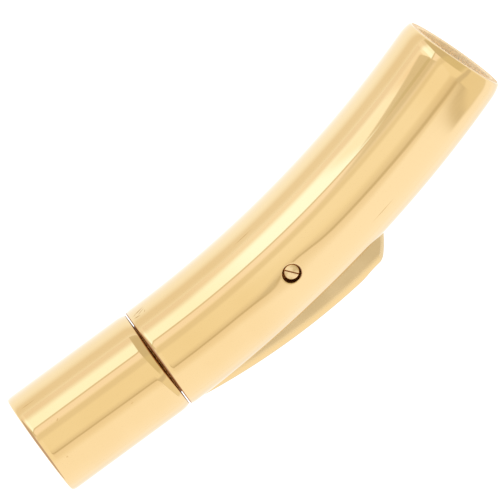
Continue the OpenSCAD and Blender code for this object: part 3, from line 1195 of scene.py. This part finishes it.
@dataclass
class PivotScrew(Part):
    """The small slotted screw that the lever turns on."""

    pivot: Pair
    head_r: float = 0.6
    shank_r: float = 0.5
    top_z: float = 3.74
    floor_z: float = 2.68
    end_z: float = -2.7
    edge: float = 0.13
    slot_half_w: float = 0.05
    slot_depth: float = 0.18
    slot_deg: float = -51.5
    head_shift: Pair = (0.075, 0.025)

    NAME = "pivot_screw_turned"
    BODY = "clasp_body"
    NODE = "pivot_screw"
    SLOT = "screw_gold"
    ARC_STEPS = 36
    GAP_STEPS = 4
    ROUND_STEPS = 6
    DOWN_STEPS = 3
    TOP_STEPS = 6
    WALL_STEPS = 4

    def draw(self) -> None:
        """Adds the slotted head and the shank."""
        self.slot_z = self.top_z - self.slot_depth
        self.head()
        self.shank()

    def head(self) -> None:
        """Adds both halves of the head, with a quarter round at its edge, and the slot's walls and floor.

        One wall of the slot has the lighter finish of the end faces; the other wall and the floor take the
        gaps' dark paint, which stands in for the shade in the slot.
        """
        tau = np.linspace(0, math.pi / 2, self.ROUND_STEPS + 1)
        radii = self.head_r - self.edge * (1 - np.sin(tau))
        heights = self.top_z - self.edge * (1 - np.cos(tau))
        down = np.linspace(heights[-1], self.slot_z, self.DOWN_STEPS + 1)[1:]
        radii = np.concatenate([radii, np.full(self.DOWN_STEPS, self.head_r)])
        heights = np.concatenate([heights, down])
        arcs = np.stack([plan(self.arc(r), z) for r, z in zip(radii, heights)])
        line = arcs[0] * np.array([1, 0, 1]) + np.array([0, self.slot_half_w, 0])
        top = np.concatenate([ruled(line, arcs[0], self.TOP_STEPS), arcs[1:]])
        wall_top = np.concatenate([arcs[::-1, 0], line[1:-1], arcs[:, -1]])
        steps = len(wall_top) - 1
        foot = ruled(wall_top[:1], wall_top[-1:], steps)[:, 0]
        wall = ruled(wall_top, foot, self.WALL_STEPS)
        # One wall is painted dark as the slot's shade, the other keeps the dull end-face finish.
        for flip, wall_face in ((np.array([1, 1, 1]), Face.RIM), (np.array([-1, -1, 1]), Face.SHADE_PAINTED_GAP)):
            self.put(top * flip, Face.POLISHED)
            self.put(wall * flip, wall_face)
        ends = (plan(points, self.slot_z) for points in (self.gap_arc(0), self.gap_arc(math.pi)[::-1]))
        # The slot's floor is painted dark as shade.
        self.put(ruled(*ends, steps), Face.SHADE_PAINTED_GAP)

    def shank(self) -> None:
        """Adds the head's side below the slot and the shank, down to the middle of its end."""
        half = self.arc(self.head_r)
        ring = np.concatenate([half[:-1], self.gap_arc(math.pi)[:-1], -half[:-1], self.gap_arc(0)])
        shank = ring / self.head_r * self.shank_r
        rows = [plan(ring, self.slot_z), plan(ring, self.floor_z), plan(shank, self.floor_z),
                plan(shank, self.end_z), plan(shank * 0, self.end_z)]
        head_rows = np.array([1, 1, 0, 0, 0])
        self.put(np.stack(rows), Face.POLISHED, head_rows[:, None, None])

    def arc(self, radius: float) -> Array:
        """Plan points of one half of the head at a radius, from one side of the slot to the other.

        Args:
            radius: Distance from the screw's axis.

        Returns:
            Plan points, (n, 2).
        """
        start = math.asin(self.slot_half_w / radius)
        angle = np.linspace(start, math.pi - start, self.ARC_STEPS + 1)
        return radius * np.stack([np.cos(angle), np.sin(angle)], -1)

    def gap_arc(self, middle: float) -> Array:
        """Plan points of the head's side across one end of the slot.

        Args:
            middle: Direction of that end.

        Returns:
            Plan points, (n, 2).
        """
        start = math.asin(self.slot_half_w / self.head_r)
        angle = middle + np.linspace(-start, start, self.GAP_STEPS + 1)
        return self.head_r * np.stack([np.cos(angle), np.sin(angle)], -1)

    def put(self, grid: Array, face: Face, shifted: Array | float = 1.0) -> None:
        """Adds a grid, turned to the slot's direction and moved to the pivot.

        Args:
            grid: Points about the screw's axis, (rows, columns, 3).
            face: The finish of the patch.
            shifted: 1 for the rows of the head, which stands a little aside, and 0 for those of the shank.
        """
        cos, sin = math.cos(math.radians(self.slot_deg)), math.sin(math.radians(self.slot_deg))
        x, y = grid[..., 0], grid[..., 1]
        turned = np.stack([x * cos - y * sin, x * sin + y * cos], -1)
        placed = turned + np.array(self.pivot) + shifted * np.array(self.head_shift)
        self.skin.add(plan(placed, grid[..., 2]), face)


class Graph:
    """Adds nodes to a tree and links them."""

    def __init__(self, tree: bpy.types.NodeTree) -> None:
        """Starts from an empty tree."""
        self.tree = tree
        tree.nodes.clear()

    def node(self, kind: str, feeds: dict[str | int, object] | None = None,
             **settings: object) -> bpy.types.Node:
        """Adds a node.

        Args:
            kind: The node's type.
            feeds: What goes into each socket: the output to link, or the plain value that it is set to.
            **settings: The node's properties.

        Returns:
            The new node.
        """
        made = self.tree.nodes.new(kind)
        for name, value in settings.items():
            setattr(made, name, value)
        for key, value in (feeds or {}).items():
            if isinstance(value, Socket):
                self.tree.links.new(value, made.inputs[key])
            else:
                made.inputs[key].default_value = value
        return made

    def math(self, operation: str, *values: object) -> Socket:
        """Result of a Math node on the values."""
        return self.node("ShaderNodeMath", dict(enumerate(values)), operation=operation).outputs[0]

    def product(self, first: object, *others: object) -> Socket:
        """Multiplies values.

        Args:
            first: The first value.
            *others: The other values.

        Returns:
            The product's output.
        """
        for other in others:
            first = self.math("MULTIPLY", first, other)
        return first

    def ramp(self, value: object, low: float, high: float, to: Pair = (0.0, 1.0)) -> Socket:
        """Value mapped from low...high to the range in to, with soft ends."""
        feeds = {"Value": value, "From Min": low, "From Max": high, "To Min": to[0], "To Max": to[1]}
        return self.node("ShaderNodeMapRange", feeds, interpolation_type="SMOOTHSTEP").outputs[0]

    def step(self, value: object, at: float, soft: float, to: Pair = (0.0, 1.0)) -> Socket:
        """Value mapped to the range in to by a soft step, whose breadth is soft and whose middle is at."""
        return self.ramp(value, at - soft / 2, at + soft / 2, to)

    def mix(self, share: object, first: object, last: object) -> Socket:
        """Colour mixed from first to last by the share."""
        feeds = {0: share, 6: first, 7: last}
        return self.node("ShaderNodeMix", feeds, data_type="RGBA", clamp_result=False).outputs[2]

    def noise(self, vector: object, scale: float, detail: float = 2.0, roughness: float = 0.5) -> Socket:
        """Value of a noise pattern, mostly from 0.3 to 0.7."""
        feeds = {"Vector": vector, "Scale": scale, "Detail": detail, "Roughness": roughness}
        return self.node("ShaderNodeTexNoise", feeds).outputs[0]

    def stretched(self, vector: object, scale: Triple) -> Socket:
        """Vector with each of its parts scaled."""
        return self.node("ShaderNodeMapping", {"Vector": vector, "Scale": scale}).outputs[0]

    def dot(self, vector: object, other: Triple) -> Socket:
        """Dot product of a vector and a fixed one."""
        made = self.node("ShaderNodeVectorMath", {0: vector, 1: other}, operation="DOT_PRODUCT")
        return made.outputs["Value"]

    def bump(self, height: object, distance: float, below: Socket | None = None,
             invert: bool = False) -> Socket:
        """Normal of a relief.

        Args:
            height: The relief's pattern.
            distance: The relief's depth in metres.
            below: Normal of another relief that this one lies on.
            invert: Whether the pattern is cut in instead of raised.

        Returns:
            The normal's output.
        """
        feeds = {"Height": height, "Distance": distance}
        if below is not None:
            feeds["Normal"] = below
        return self.node("ShaderNodeBump", feeds, invert=invert).outputs[0]


def rgb(colour: Triple) -> tuple[float, float, float, float]:
    """Colour with full opacity."""
    return (*colour, 1.0)


@dataclass(frozen=True)
class Scuff:
    """A small dull mark on the tube: its place along the tube and around it, its size and its lean."""

    along: float
    angle_deg: float
    length: float
    width: float
    lean_deg: float = 0.0
    depth: float = 0.5

    def weight(self, g: Graph, chart: Socket) -> Socket:
        """How deep each place is in the mark's ellipse on the surface's own map.

        Args:
            g: The material's graph.
            chart: The surface's map.

        Returns:
            The mark's depth in its middle, falling softly to zero at the ellipse's edge.
        """
        around_tube = math.radians(self.angle_deg) * TUBE_RADIUS
        place = g.node("ShaderNodeMapping", {
            "Vector": chart, "Location": (self.along * MM, around_tube * MM, 0),
            "Rotation": (0, 0, math.radians(self.lean_deg)),
            "Scale": (self.length / 2 * MM, self.width / 2 * MM, 1)}, vector_type="TEXTURE")
        far = g.node("ShaderNodeVectorMath", {0: place.outputs[0]}, operation="LENGTH")
        return g.ramp(far.outputs["Value"], 0.2, 1.0, (self.depth, 0.0))


@dataclass(frozen=True)
class GoldFinish:
    """Coated metal: its colour, its polish, and the fine marks that the polishing left.

    Where the piece's side polish share is one, the metal has the polished colour and roughness instead;
    where the share is lower, its darker colour is partly painted shade.
    Where it has a pale colour, that shows between the four places of pale_run along the tube, in metres.
    """

    name: str
    colour: Triple
    shade: Triple
    roughness: Pair
    marks: Triple = (300.0, 9000.0, 1.0)
    mark_depth: float = 1.5e-7
    swell_depth: float = 1.2e-6
    coat: float = 1.0
    coat_roughness: float = 0.04
    coat_ior: float = 1.5
    pale: Triple | None = None
    pale_run: tuple[float, float, float, float] = (0.006, 0.011, 0.0245, 0.0275)
    polished: Triple | None = None
    polished_roughness: float = 0.05
    scuffs: tuple[Scuff, ...] = ()
    scuff_depth: float = 3e-6
    scuff_colour: Triple = (0.46, 0.25, 0.05)
    scuff_grain: float = 3000.0
    drift_scale: float = 260.0
    swell_scale: float = 420.0
    edge_paleness: float = 1.05

    def material(self) -> bpy.types.Material:
        """Makes the material.

        The colour drifts slowly between two tones and is paler at worn edges. The roughness and the relief
        come from marks stretched along the surface's own map and from a slow swell.

        Returns:
            The material.
        """
        made = bpy.data.materials.new(self.name)
        made.use_nodes = True
        g = Graph(made.node_tree)
        place = g.node("ShaderNodeTexCoord")
        lines = g.noise(g.stretched(place.outputs["UV"], self.marks), 1.0, 4.0, 0.6)
        swell = g.noise(place.outputs["Object"], self.swell_scale, 1.0)
        rough = g.ramp(lines, 0.3, 0.7, self.roughness)
        scuffs = self.scuffed(g, place.outputs["UV"])
        tone = self.tone(g, place, lines, scuffs)
        if self.polished:
            share = g.node("ShaderNodeAttribute", attribute_name="side_polish_and_light").outputs["Fac"]
            tone = g.mix(share, tone, rgb(self.polished))
            rough = g.math("ADD", g.product(g.math("SUBTRACT", 1.0, share), rough),
                           g.product(share, self.polished_roughness))
        normal = g.bump(lines, self.mark_depth)
        if self.scuffs:
            normal = g.bump(scuffs, self.scuff_depth, normal, invert=True)
        normal = g.bump(swell, self.swell_depth, normal)
        shader = g.node("ShaderNodeBsdfPrincipled", {
            "Base Color": tone, "Metallic": 1.0, "Roughness": rough, "Coat Weight": self.coat,
            "Coat Roughness": self.coat_roughness, "Coat IOR": self.coat_ior, "Normal": normal,
            "Coat Normal": normal})
        g.node("ShaderNodeOutputMaterial", {"Surface": shader.outputs[0]})
        return made

    def scuffed(self, g: Graph, chart: Socket) -> Socket | float:
        """How deep each place is in the scuffs, from 0 to 1: the deepest one counts.

        Args:
            g: The material's graph.
            chart: The surface's map.

        Returns:
            The depth's output, or zero without scuffs.
        """
        deepest = 0.0
        for scuff in self.scuffs:
            deepest = g.math("MAXIMUM", scuff.weight(g, chart), deepest)
        return deepest

    def tone(self, g: Graph, place: bpy.types.Node, lines: Socket, scuffs: Socket | float) -> Socket:
        """Colour of the metal: slow drift, the paler stretch, the scuffs and the pale worn edges.

        Args:
            g: The material's graph.
            place: The texture coordinates.
            lines: The pattern of the fine marks.
            scuffs: How deep each place is in the scuffs.

        Returns:
            The colour's output.
        """
        drift = g.noise(place.outputs["Object"], self.drift_scale, 3.0)
        tone = g.mix(g.ramp(drift, 0.35, 0.65), rgb(self.colour), rgb(self.shade))
        if self.pale:
            run = g.dot(place.outputs["UV"], (1, 0, 0))
            start, full, last, end = self.pale_run
            share = g.product(g.ramp(run, start, full), g.ramp(run, last, end, (1.0, 0.0)))
            tone = g.mix(share, tone, rgb(self.pale))
        if self.scuffs:
            grain = g.noise(place.outputs["Object"], self.scuff_grain)
            share = g.product(scuffs, g.ramp(grain, 0.35, 0.6, (0.6, 1.0)))
            tone = g.mix(share, tone, rgb(self.scuff_colour))
        worn = g.node("ShaderNodeAttribute", attribute_name="edge_wear").outputs["Fac"]
        pale_edge = tuple(min(c * self.edge_paleness, 1.0) for c in self.colour)
        share = g.product(g.ramp(worn, 0.6, 1.0), g.ramp(lines, 0.4, 0.6, (0.1, 0.6)))
        return g.mix(share, tone, rgb(pale_edge))


SCUFFS = (
    Scuff(18.6, 64.5, 2.8, 0.13),
    Scuff(10.3, 155.5, 2.3, 0.12),
    Scuff(-9.3, 156.0, 1.6, 0.12),
    Scuff(0.8, 172.0, 1.4, 0.2, 16.0, 1.0),
    Scuff(1.0, 169.0, 0.9, 0.14, 24.0, 1.0),
    Scuff(0.55, 165.0, 0.7, 0.16, -8.0, 1.0),
    Scuff(1.25, 166.0, 0.4, 0.09, 60.0, 0.9),
    Scuff(0.5, 170.0, 0.5, 0.08, 50.0, 0.7),
    Scuff(-8.2, 121.5, 0.35, 0.16, 40.0),
    Scuff(-9.2, 85.0, 0.22, 0.2),
    Scuff(-3.3, 90.5, 0.3, 0.12, 20.0),
)
FINISHES = {
    Face.POLISHED: GoldFinish("polished_gold_skin", (0.785, 0.572, 0.272), (0.775, 0.56, 0.26), (0.03, 0.06),
                              pale=(0.795, 0.59, 0.293), scuffs=SCUFFS),
    # Partly painted shade: rough satin whose darker colour stands in for the shade beside the tube; the
    # polished colour shows at the crown.
    Face.SATIN_PAINTED_SHADE: GoldFinish("satin_lever_side_painted_shade", (0.66, 0.51, 0.29), (0.61, 0.465, 0.255), (0.28, 0.4),
                           (200.0, 14000.0, 1.0), 6e-7, 1e-6, 0.0, 0.2, polished=(0.77, 0.56, 0.27)),
    # Partly painted light: rough turned metal whose colour is raised paler than the gold to stand in for the
    # light deep in the bores.
    Face.TURNED: GoldFinish("turned_bore_gold_painted_paler", (0.97, 0.83, 0.62), (0.95, 0.8, 0.58), (0.6, 0.7),
                            (9000.0, 150.0, 1.0), 1e-7, 5e-7, 0.0, 0.1),
    Face.RIM: GoldFinish("dull_end_face", (0.8, 0.58, 0.34), (0.76, 0.54, 0.31), (0.4, 0.5),
                         (3000.0, 3000.0, 1.0), 3e-7, 1e-6, 0.0, 0.1),
    # Painted shade: dark brown for the gaps, recesses and hidden walls, in place of the shade there.
    Face.SHADE_PAINTED_GAP: GoldFinish("gold_painted_dark_as_gap_shade", (0.55, 0.26, 0.08), (0.42, 0.19, 0.05), (0.3, 0.5),
                         (3000.0, 3000.0, 1.0), 1e-6, 1e-6, 0.0, 0.1),
}
SCREW_TOP = GoldFinish("screw_head_gold", (0.84, 0.66, 0.39), (0.6, 0.45, 0.22), (0.08, 0.18),
                       (5000.0, 5000.0, 1.0), 5e-7, 6e-6, 0.0, 0.08, drift_scale=1800.0)


@dataclass(frozen=True)
class Edge:
    """A straight edge of a card, where the direction's dot product with a vector passes a value."""

    vector: Triple
    at: float = 0.0
    soft: float = 0.05


@dataclass(frozen=True)
class Card:
    """A soft-edged band of light across the studio, given by its elevations.

    Elevation runs over the top from 0 at the inner side's horizon to 180 at the other one. The slant moves
    the band by degrees per unit of the direction's x, and it shows only beyond each of its straight edges.
    """

    name: str
    light: Triple
    low: float
    high: float
    soft: Pair
    slant: float = 0.0
    edges: tuple[Edge, ...] = ()

    def weight(self, g: Graph, elevation: Socket, way: Socket) -> Socket:
        """How much of the card shows in a direction: one inside its edges, zero outside, soft between.

        Args:
            g: The world's graph.
            elevation: The direction's elevation in degrees.
            way: The direction.

        Returns:
            The share's output.
        """
        if self.slant:
            elevation = g.math("ADD", elevation, g.dot(way, (self.slant, 0, 0)))
        rise = g.step(elevation, self.low, self.soft[0])
        fall = g.step(elevation, self.high, self.soft[1], (1.0, 0.0))
        return g.product(rise, fall, *(g.step(g.dot(way, e.vector), e.at, e.soft) for e in self.edges))


CAMERA_WHITE = (1.3, 1.3, 1.3)
TENT_LIGHT = (1.25, 1.235, 1.25)
TO_MOUTH_SIDE = (1, 0, 0)
TO_PLUG_SIDE = (-1, 0, 0)
TO_INNER_CORNER = (-0.884, -0.422, 0.198)
TO_OUTER_CORNER = (1, 0.31, 0)
CORNER_EDGE = (Edge(TO_INNER_CORNER, 0.0, 0.016),)
LOW_CORNER_EDGE = (Edge(TO_INNER_CORNER, 0.03, 0.04),)
BEYOND_MOUTH = (Edge((1, 0.3, 0), 0.3, 0.05), Edge(TO_MOUTH_SIDE, 0.06, 0.05))
NEAR_MIDDLE = (Edge(TO_MOUTH_SIDE, -0.07, 0.04), Edge(TO_PLUG_SIDE, -0.07, 0.04))
LINE_SLANT = 22.7
BACK_SLANT = -100.0
CARDS = (
    Card("warm overhead card", (1.14, 1.09, 0.95), 50, 112, (24, 24)),
    Card("whiter end of the overhead card", (1.18, 1.14, 1.04), 50, 108, (24, 24),
         edges=(Edge(TO_PLUG_SIDE, 0.06, 0.06),)),
    Card("shade under the overhead card", (1.02, 0.96, 0.83), 48, 61, (8, 7)),
    Card("horizon", (1.1, 1.05, 1.04), -40, 24, (10, 4)),
    Card("bright middle of the horizon", (1.17, 1.14, 1.15), -40, 24, (10, 4),
         edges=(Edge(TO_PLUG_SIDE, 0.09, 0.08), Edge(TO_MOUTH_SIDE, -0.25, 0.08))),
    Card("window strip", (1.31, 1.52, 1.7), 9.5, 39.5, (16, 1.5)),
    Card("brightest part of the window", (1.31, 1.62, 1.96), 9, 39.5, (15, 1.5),
         edges=(Edge(TO_PLUG_SIDE, 0.1, 0.1), Edge(TO_MOUTH_SIDE, -0.27, 0.04))),
    Card("dim end of the window", (1.3, 1.35, 1.42), 9.5, 39.5, (16, 1.5),
         edges=(Edge(TO_PLUG_SIDE, 0.25, 0.04),)),
    Card("end of the window", (1.2, 1.14, 1.12), 6, 39.5, (16, 1.5),
         edges=(Edge(TO_PLUG_SIDE, 0.345, 0.03),)),
    Card("pale strip", (1.22, 1.17, 1.21), 35.2, 45.5, (1.5, 11), LINE_SLANT),
    Card("dark corner", (0.91, 0.86, 0.76), -20, 36, (4, 4), edges=CORNER_EDGE),
    Card("dark corner under the pale strip", (0.91, 0.86, 0.76), 36, 50, (4, 8), edges=LOW_CORNER_EDGE),
    Card("deepest part of the corner", (0.82, 0.77, 0.62), 33, 41, (3, 6), edges=LOW_CORNER_EDGE),
    Card("seam under the pale strip", (0.93, 0.86, 0.76), 32.8, 35.8, (2, 2), LINE_SLANT),
    Card("shade before the back seam", (0.96, 0.89, 0.77), 96.9, 102.9, (12, 1), BACK_SLANT, NEAR_MIDDLE),
    Card("shade behind the back seam", (1.1, 1.03, 0.95), 102.9, 112.9, (1, 22), BACK_SLANT, NEAR_MIDDLE),
    Card("back seam", (0.78, 0.7, 0.55), 101.3, 104.3, (2, 2), BACK_SLANT, NEAR_MIDDLE),
    Card("corner of the outer side", (0.86, 0.8, 0.69), 102, 168, (6, 12),
         edges=(Edge(TO_OUTER_CORNER, -0.046, 0.016),)),
    Card("lit part of the outer corner", (1.06, 1.0, 0.85), 113, 170, (6, 12),
         edges=(Edge(TO_OUTER_CORNER, -0.031, 0.007),)),
    Card("tan card beyond the mouth", (0.8, 0.74, 0.6), -10, 92, (30, 30), edges=BEYOND_MOUTH),
    Card("lighter end of the tan card", (0.88, 0.82, 0.62), 50, 95, (8, 20), edges=BEYOND_MOUTH),
    Card("brown card beyond the plug", (0.66, 0.54, 0.6), -90, 190, (10, 10),
         edges=(Edge(TO_PLUG_SIDE, 0.45, 0.08),)),
)


class Studio:
    """Plain soft light all round, with a few broad cards that the polished metal mirrors."""

    def build(self) -> None:
        """Makes the world from the tent's light and the cards, plain white where nothing mirrors it."""
        world = bpy.data.worlds.new("studio")
        bpy.context.scene.world = world
        world.use_nodes = True
        g = Graph(world.node_tree)
        way = g.node("ShaderNodeTexCoord").outputs["Generated"]
        _, y, z = g.node("ShaderNodeSeparateXYZ", {0: way}).outputs
        elevation = g.product(g.math("ARCTAN2", z, y), math.degrees(1.0))
        light = rgb(TENT_LIGHT)
        for card in CARDS:
            light = g.mix(card.weight(g, elevation, way), light, rgb(card.light))
            light.node.label = card.name
        straight = g.node("ShaderNodeLightPath").outputs["Is Camera Ray"]
        shown = g.mix(straight, light, rgb(CAMERA_WHITE))
        shader = g.node("ShaderNodeBackground", {"Color": shown, "Strength": 1.0})
        g.node("ShaderNodeOutputWorld", {"Surface": shader.outputs[0]})


@dataclass(frozen=True)
class Floor:
    """Pale, softly lit table top.

    The clasp mirrors it a little dimmer in a band on the inner side of the bend, and on the outer side,
    where the dimness next to and under the tube is a painted contact shadow. The bands run between distances
    from the tube's centre line, which count towards the bend's inside.
    """

    line: TubeLine
    half_side: float = 60.0
    light: Triple = (1.15, 1.2, 1.27)
    dim: Triple = (0.98, 0.93, 0.86)
    outer: Triple = (1.04, 1.01, 0.93)
    far_outer: Triple = (1.17, 1.16, 1.16)
    diffuse: float = 0.06
    dim_in: Pair = (8.0, 15.0)
    dim_out: Pair = (19.0, 50.0)
    outer_in: Pair = (-2.0, 8.0)
    outer_far: Pair = (-22.0, -8.0)
    grain_scale: float = 60.0
    grain: Pair = (0.995, 1.005)

    def build(self) -> None:
        """Makes a square with its light given by the distance from the tube's centre line."""
        corners = np.array([(-1, -1), (1, -1), (1, 1), (-1, 1)], float) * self.half_side * MM
        mesh = bpy.data.meshes.new("table_top")
        mesh.from_pydata(plan(corners, 0.0).tolist(), [], [(0, 1, 2, 3)])
        made = bpy.data.objects.new("table_top", mesh)
        bpy.context.scene.collection.objects.link(made)
        mesh.materials.append(self.material())

    def distance(self, g: Graph, place: Socket) -> Socket:
        """Distance from the centre line: from its straight part, or from the bend's circle beyond the seam.

        Args:
            g: The material's graph.
            place: The object coordinates.

        Returns:
            The distance's output, in metres.
        """
        x, y, _ = g.node("ShaderNodeSeparateXYZ", {0: place}).outputs
        seam_x, seam_y, _ = self.line.seam
        dx = g.math("SUBTRACT", x, seam_x * MM)
        dy = g.math("SUBTRACT", y, (seam_y + self.line.bend_r) * MM)
        away = g.math("SQRT", g.math("ADD", g.product(dx, dx), g.product(dy, dy)))
        bend_gap = g.math("SUBTRACT", self.line.bend_r * MM, away)
        straight_gap = g.math("SUBTRACT", y, seam_y * MM)
        on_bend = g.math("GREATER_THAN", dx, 0.0)
        on_straight = g.math("SUBTRACT", 1.0, on_bend)
        return g.math("ADD", g.product(on_bend, bend_gap), g.product(on_straight, straight_gap))

    def material(self) -> bpy.types.Material:
        """Light of its own plus a little diffuse white, so that the clasp leaves hardly any shadow.

        Returns:
            The material.
        """
        made = bpy.data.materials.new("pale_table")
        made.use_nodes = True
        g = Graph(made.node_tree)
        place = g.node("ShaderNodeTexCoord").outputs["Object"]
        gap = self.distance(g, place)
        enter, leave, near_outer, inside = (
            g.ramp(gap, *(d * MM for d in run), to) for run, to in (
                (self.dim_in, (0.0, 1.0)), (self.dim_out, (1.0, 0.5)), (self.outer_far, (0.0, 1.0)),
                (self.outer_in, (0.0, 1.0))))
        grain = g.ramp(g.noise(place, self.grain_scale, 3.0), 0.3, 0.7, self.grain)
        inner = g.mix(g.product(enter, leave, grain), rgb(self.light), rgb(self.dim))
        outer = g.mix(near_outer, rgb(self.far_outer), rgb(self.outer))
        # Painted shade: the glow fades to the dimmer outer colour next to and under the tube, a painted
        # contact shadow that only the clasp's mirror image shows.
        light = g.mix(inside, outer, inner)
        straight = g.node("ShaderNodeLightPath").outputs["Is Camera Ray"]
        glow = g.node("ShaderNodeEmission", {"Color": g.mix(straight, light, rgb(CAMERA_WHITE))})
        plain = g.node("ShaderNodeBsdfDiffuse", {"Color": rgb((self.diffuse,) * 3)})
        both = g.node("ShaderNodeAddShader", {0: glow.outputs[0], 1: plain.outputs[0]})
        g.node("ShaderNodeOutputMaterial", {"Surface": both.outputs[0]})
        return made


@dataclass(frozen=True)
class Viewpoint:
    """The photo's camera: a long lens above the clasp, turned about its own axis."""

    elevation_deg: float = 68.938
    azimuth_deg: float = -2.819
    roll_deg: float = 35.850
    distance: float = 400.0
    target: Triple = (9.7131, 2.517, 0.0)
    focal_px: float = 5672.96
    image_px: float = 500.0
    sensor: float = 36.0
    clip: Pair = (0.01, 10.0)

    def build(self, line: TubeLine) -> None:
        """Places the camera by its direction from the target and makes it the scene's camera.

        Args:
            line: The line whose seam the target is measured from.
        """
        el, az, roll = (math.radians(a) for a in (self.elevation_deg, self.azimuth_deg, self.roll_deg))
        back = Vector((math.cos(el) * math.sin(az), math.cos(el) * math.cos(az), math.sin(el)))
        up = (Vector((0, 1, 0)) - back * back.y).normalized()
        side = up.cross(back)
        right = math.cos(roll) * side - math.sin(roll) * up
        up = math.sin(roll) * side + math.cos(roll) * up
        place = (Vector(self.target) + Vector(line.seam) + back * self.distance) * MM
        data = bpy.data.cameras.new("photo_camera")
        data.sensor_width = self.sensor
        data.lens = self.focal_px * self.sensor / self.image_px
        data.clip_start, data.clip_end = self.clip
        made = bpy.data.objects.new("photo_camera", data)
        made.matrix_world = Matrix.Translation(place) @ Matrix((right, up, back)).transposed().to_4x4()
        bpy.context.scene.collection.objects.link(made)
        bpy.context.scene.camera = made


def main() -> None:
    """Builds the clasp and its studio, piece by piece."""
    line = TubeLine.from_frame()
    hinge = next(j for j in frame["joints"] if j["name"] == "lever_press")
    pivot = tuple(p / MM - c for p, c in zip(hinge["pos_m"][:2], line.seam))
    Viewpoint().build(line)
    Studio().build()
    Floor(line).build()
    bpy.context.scene.view_settings.view_transform = "Standard"
    gold = {face: finish.material() for face, finish in FINISHES.items()}
    screw = {**gold, Face.POLISHED: SCREW_TOP.material()}
    for part, materials in ((Plug(line), gold), (SocketTube(line, pivot), gold), (Lever(line, pivot), gold),
                            (PivotScrew(line, pivot), screw)):
        made = part.build(materials)
        log.info("%s: %d faces", made.name, len(made.data.polygons))


if __name__ == "__main__":
    logging.basicConfig(level=logging.INFO, format="%(name)s: %(message)s")
    main()
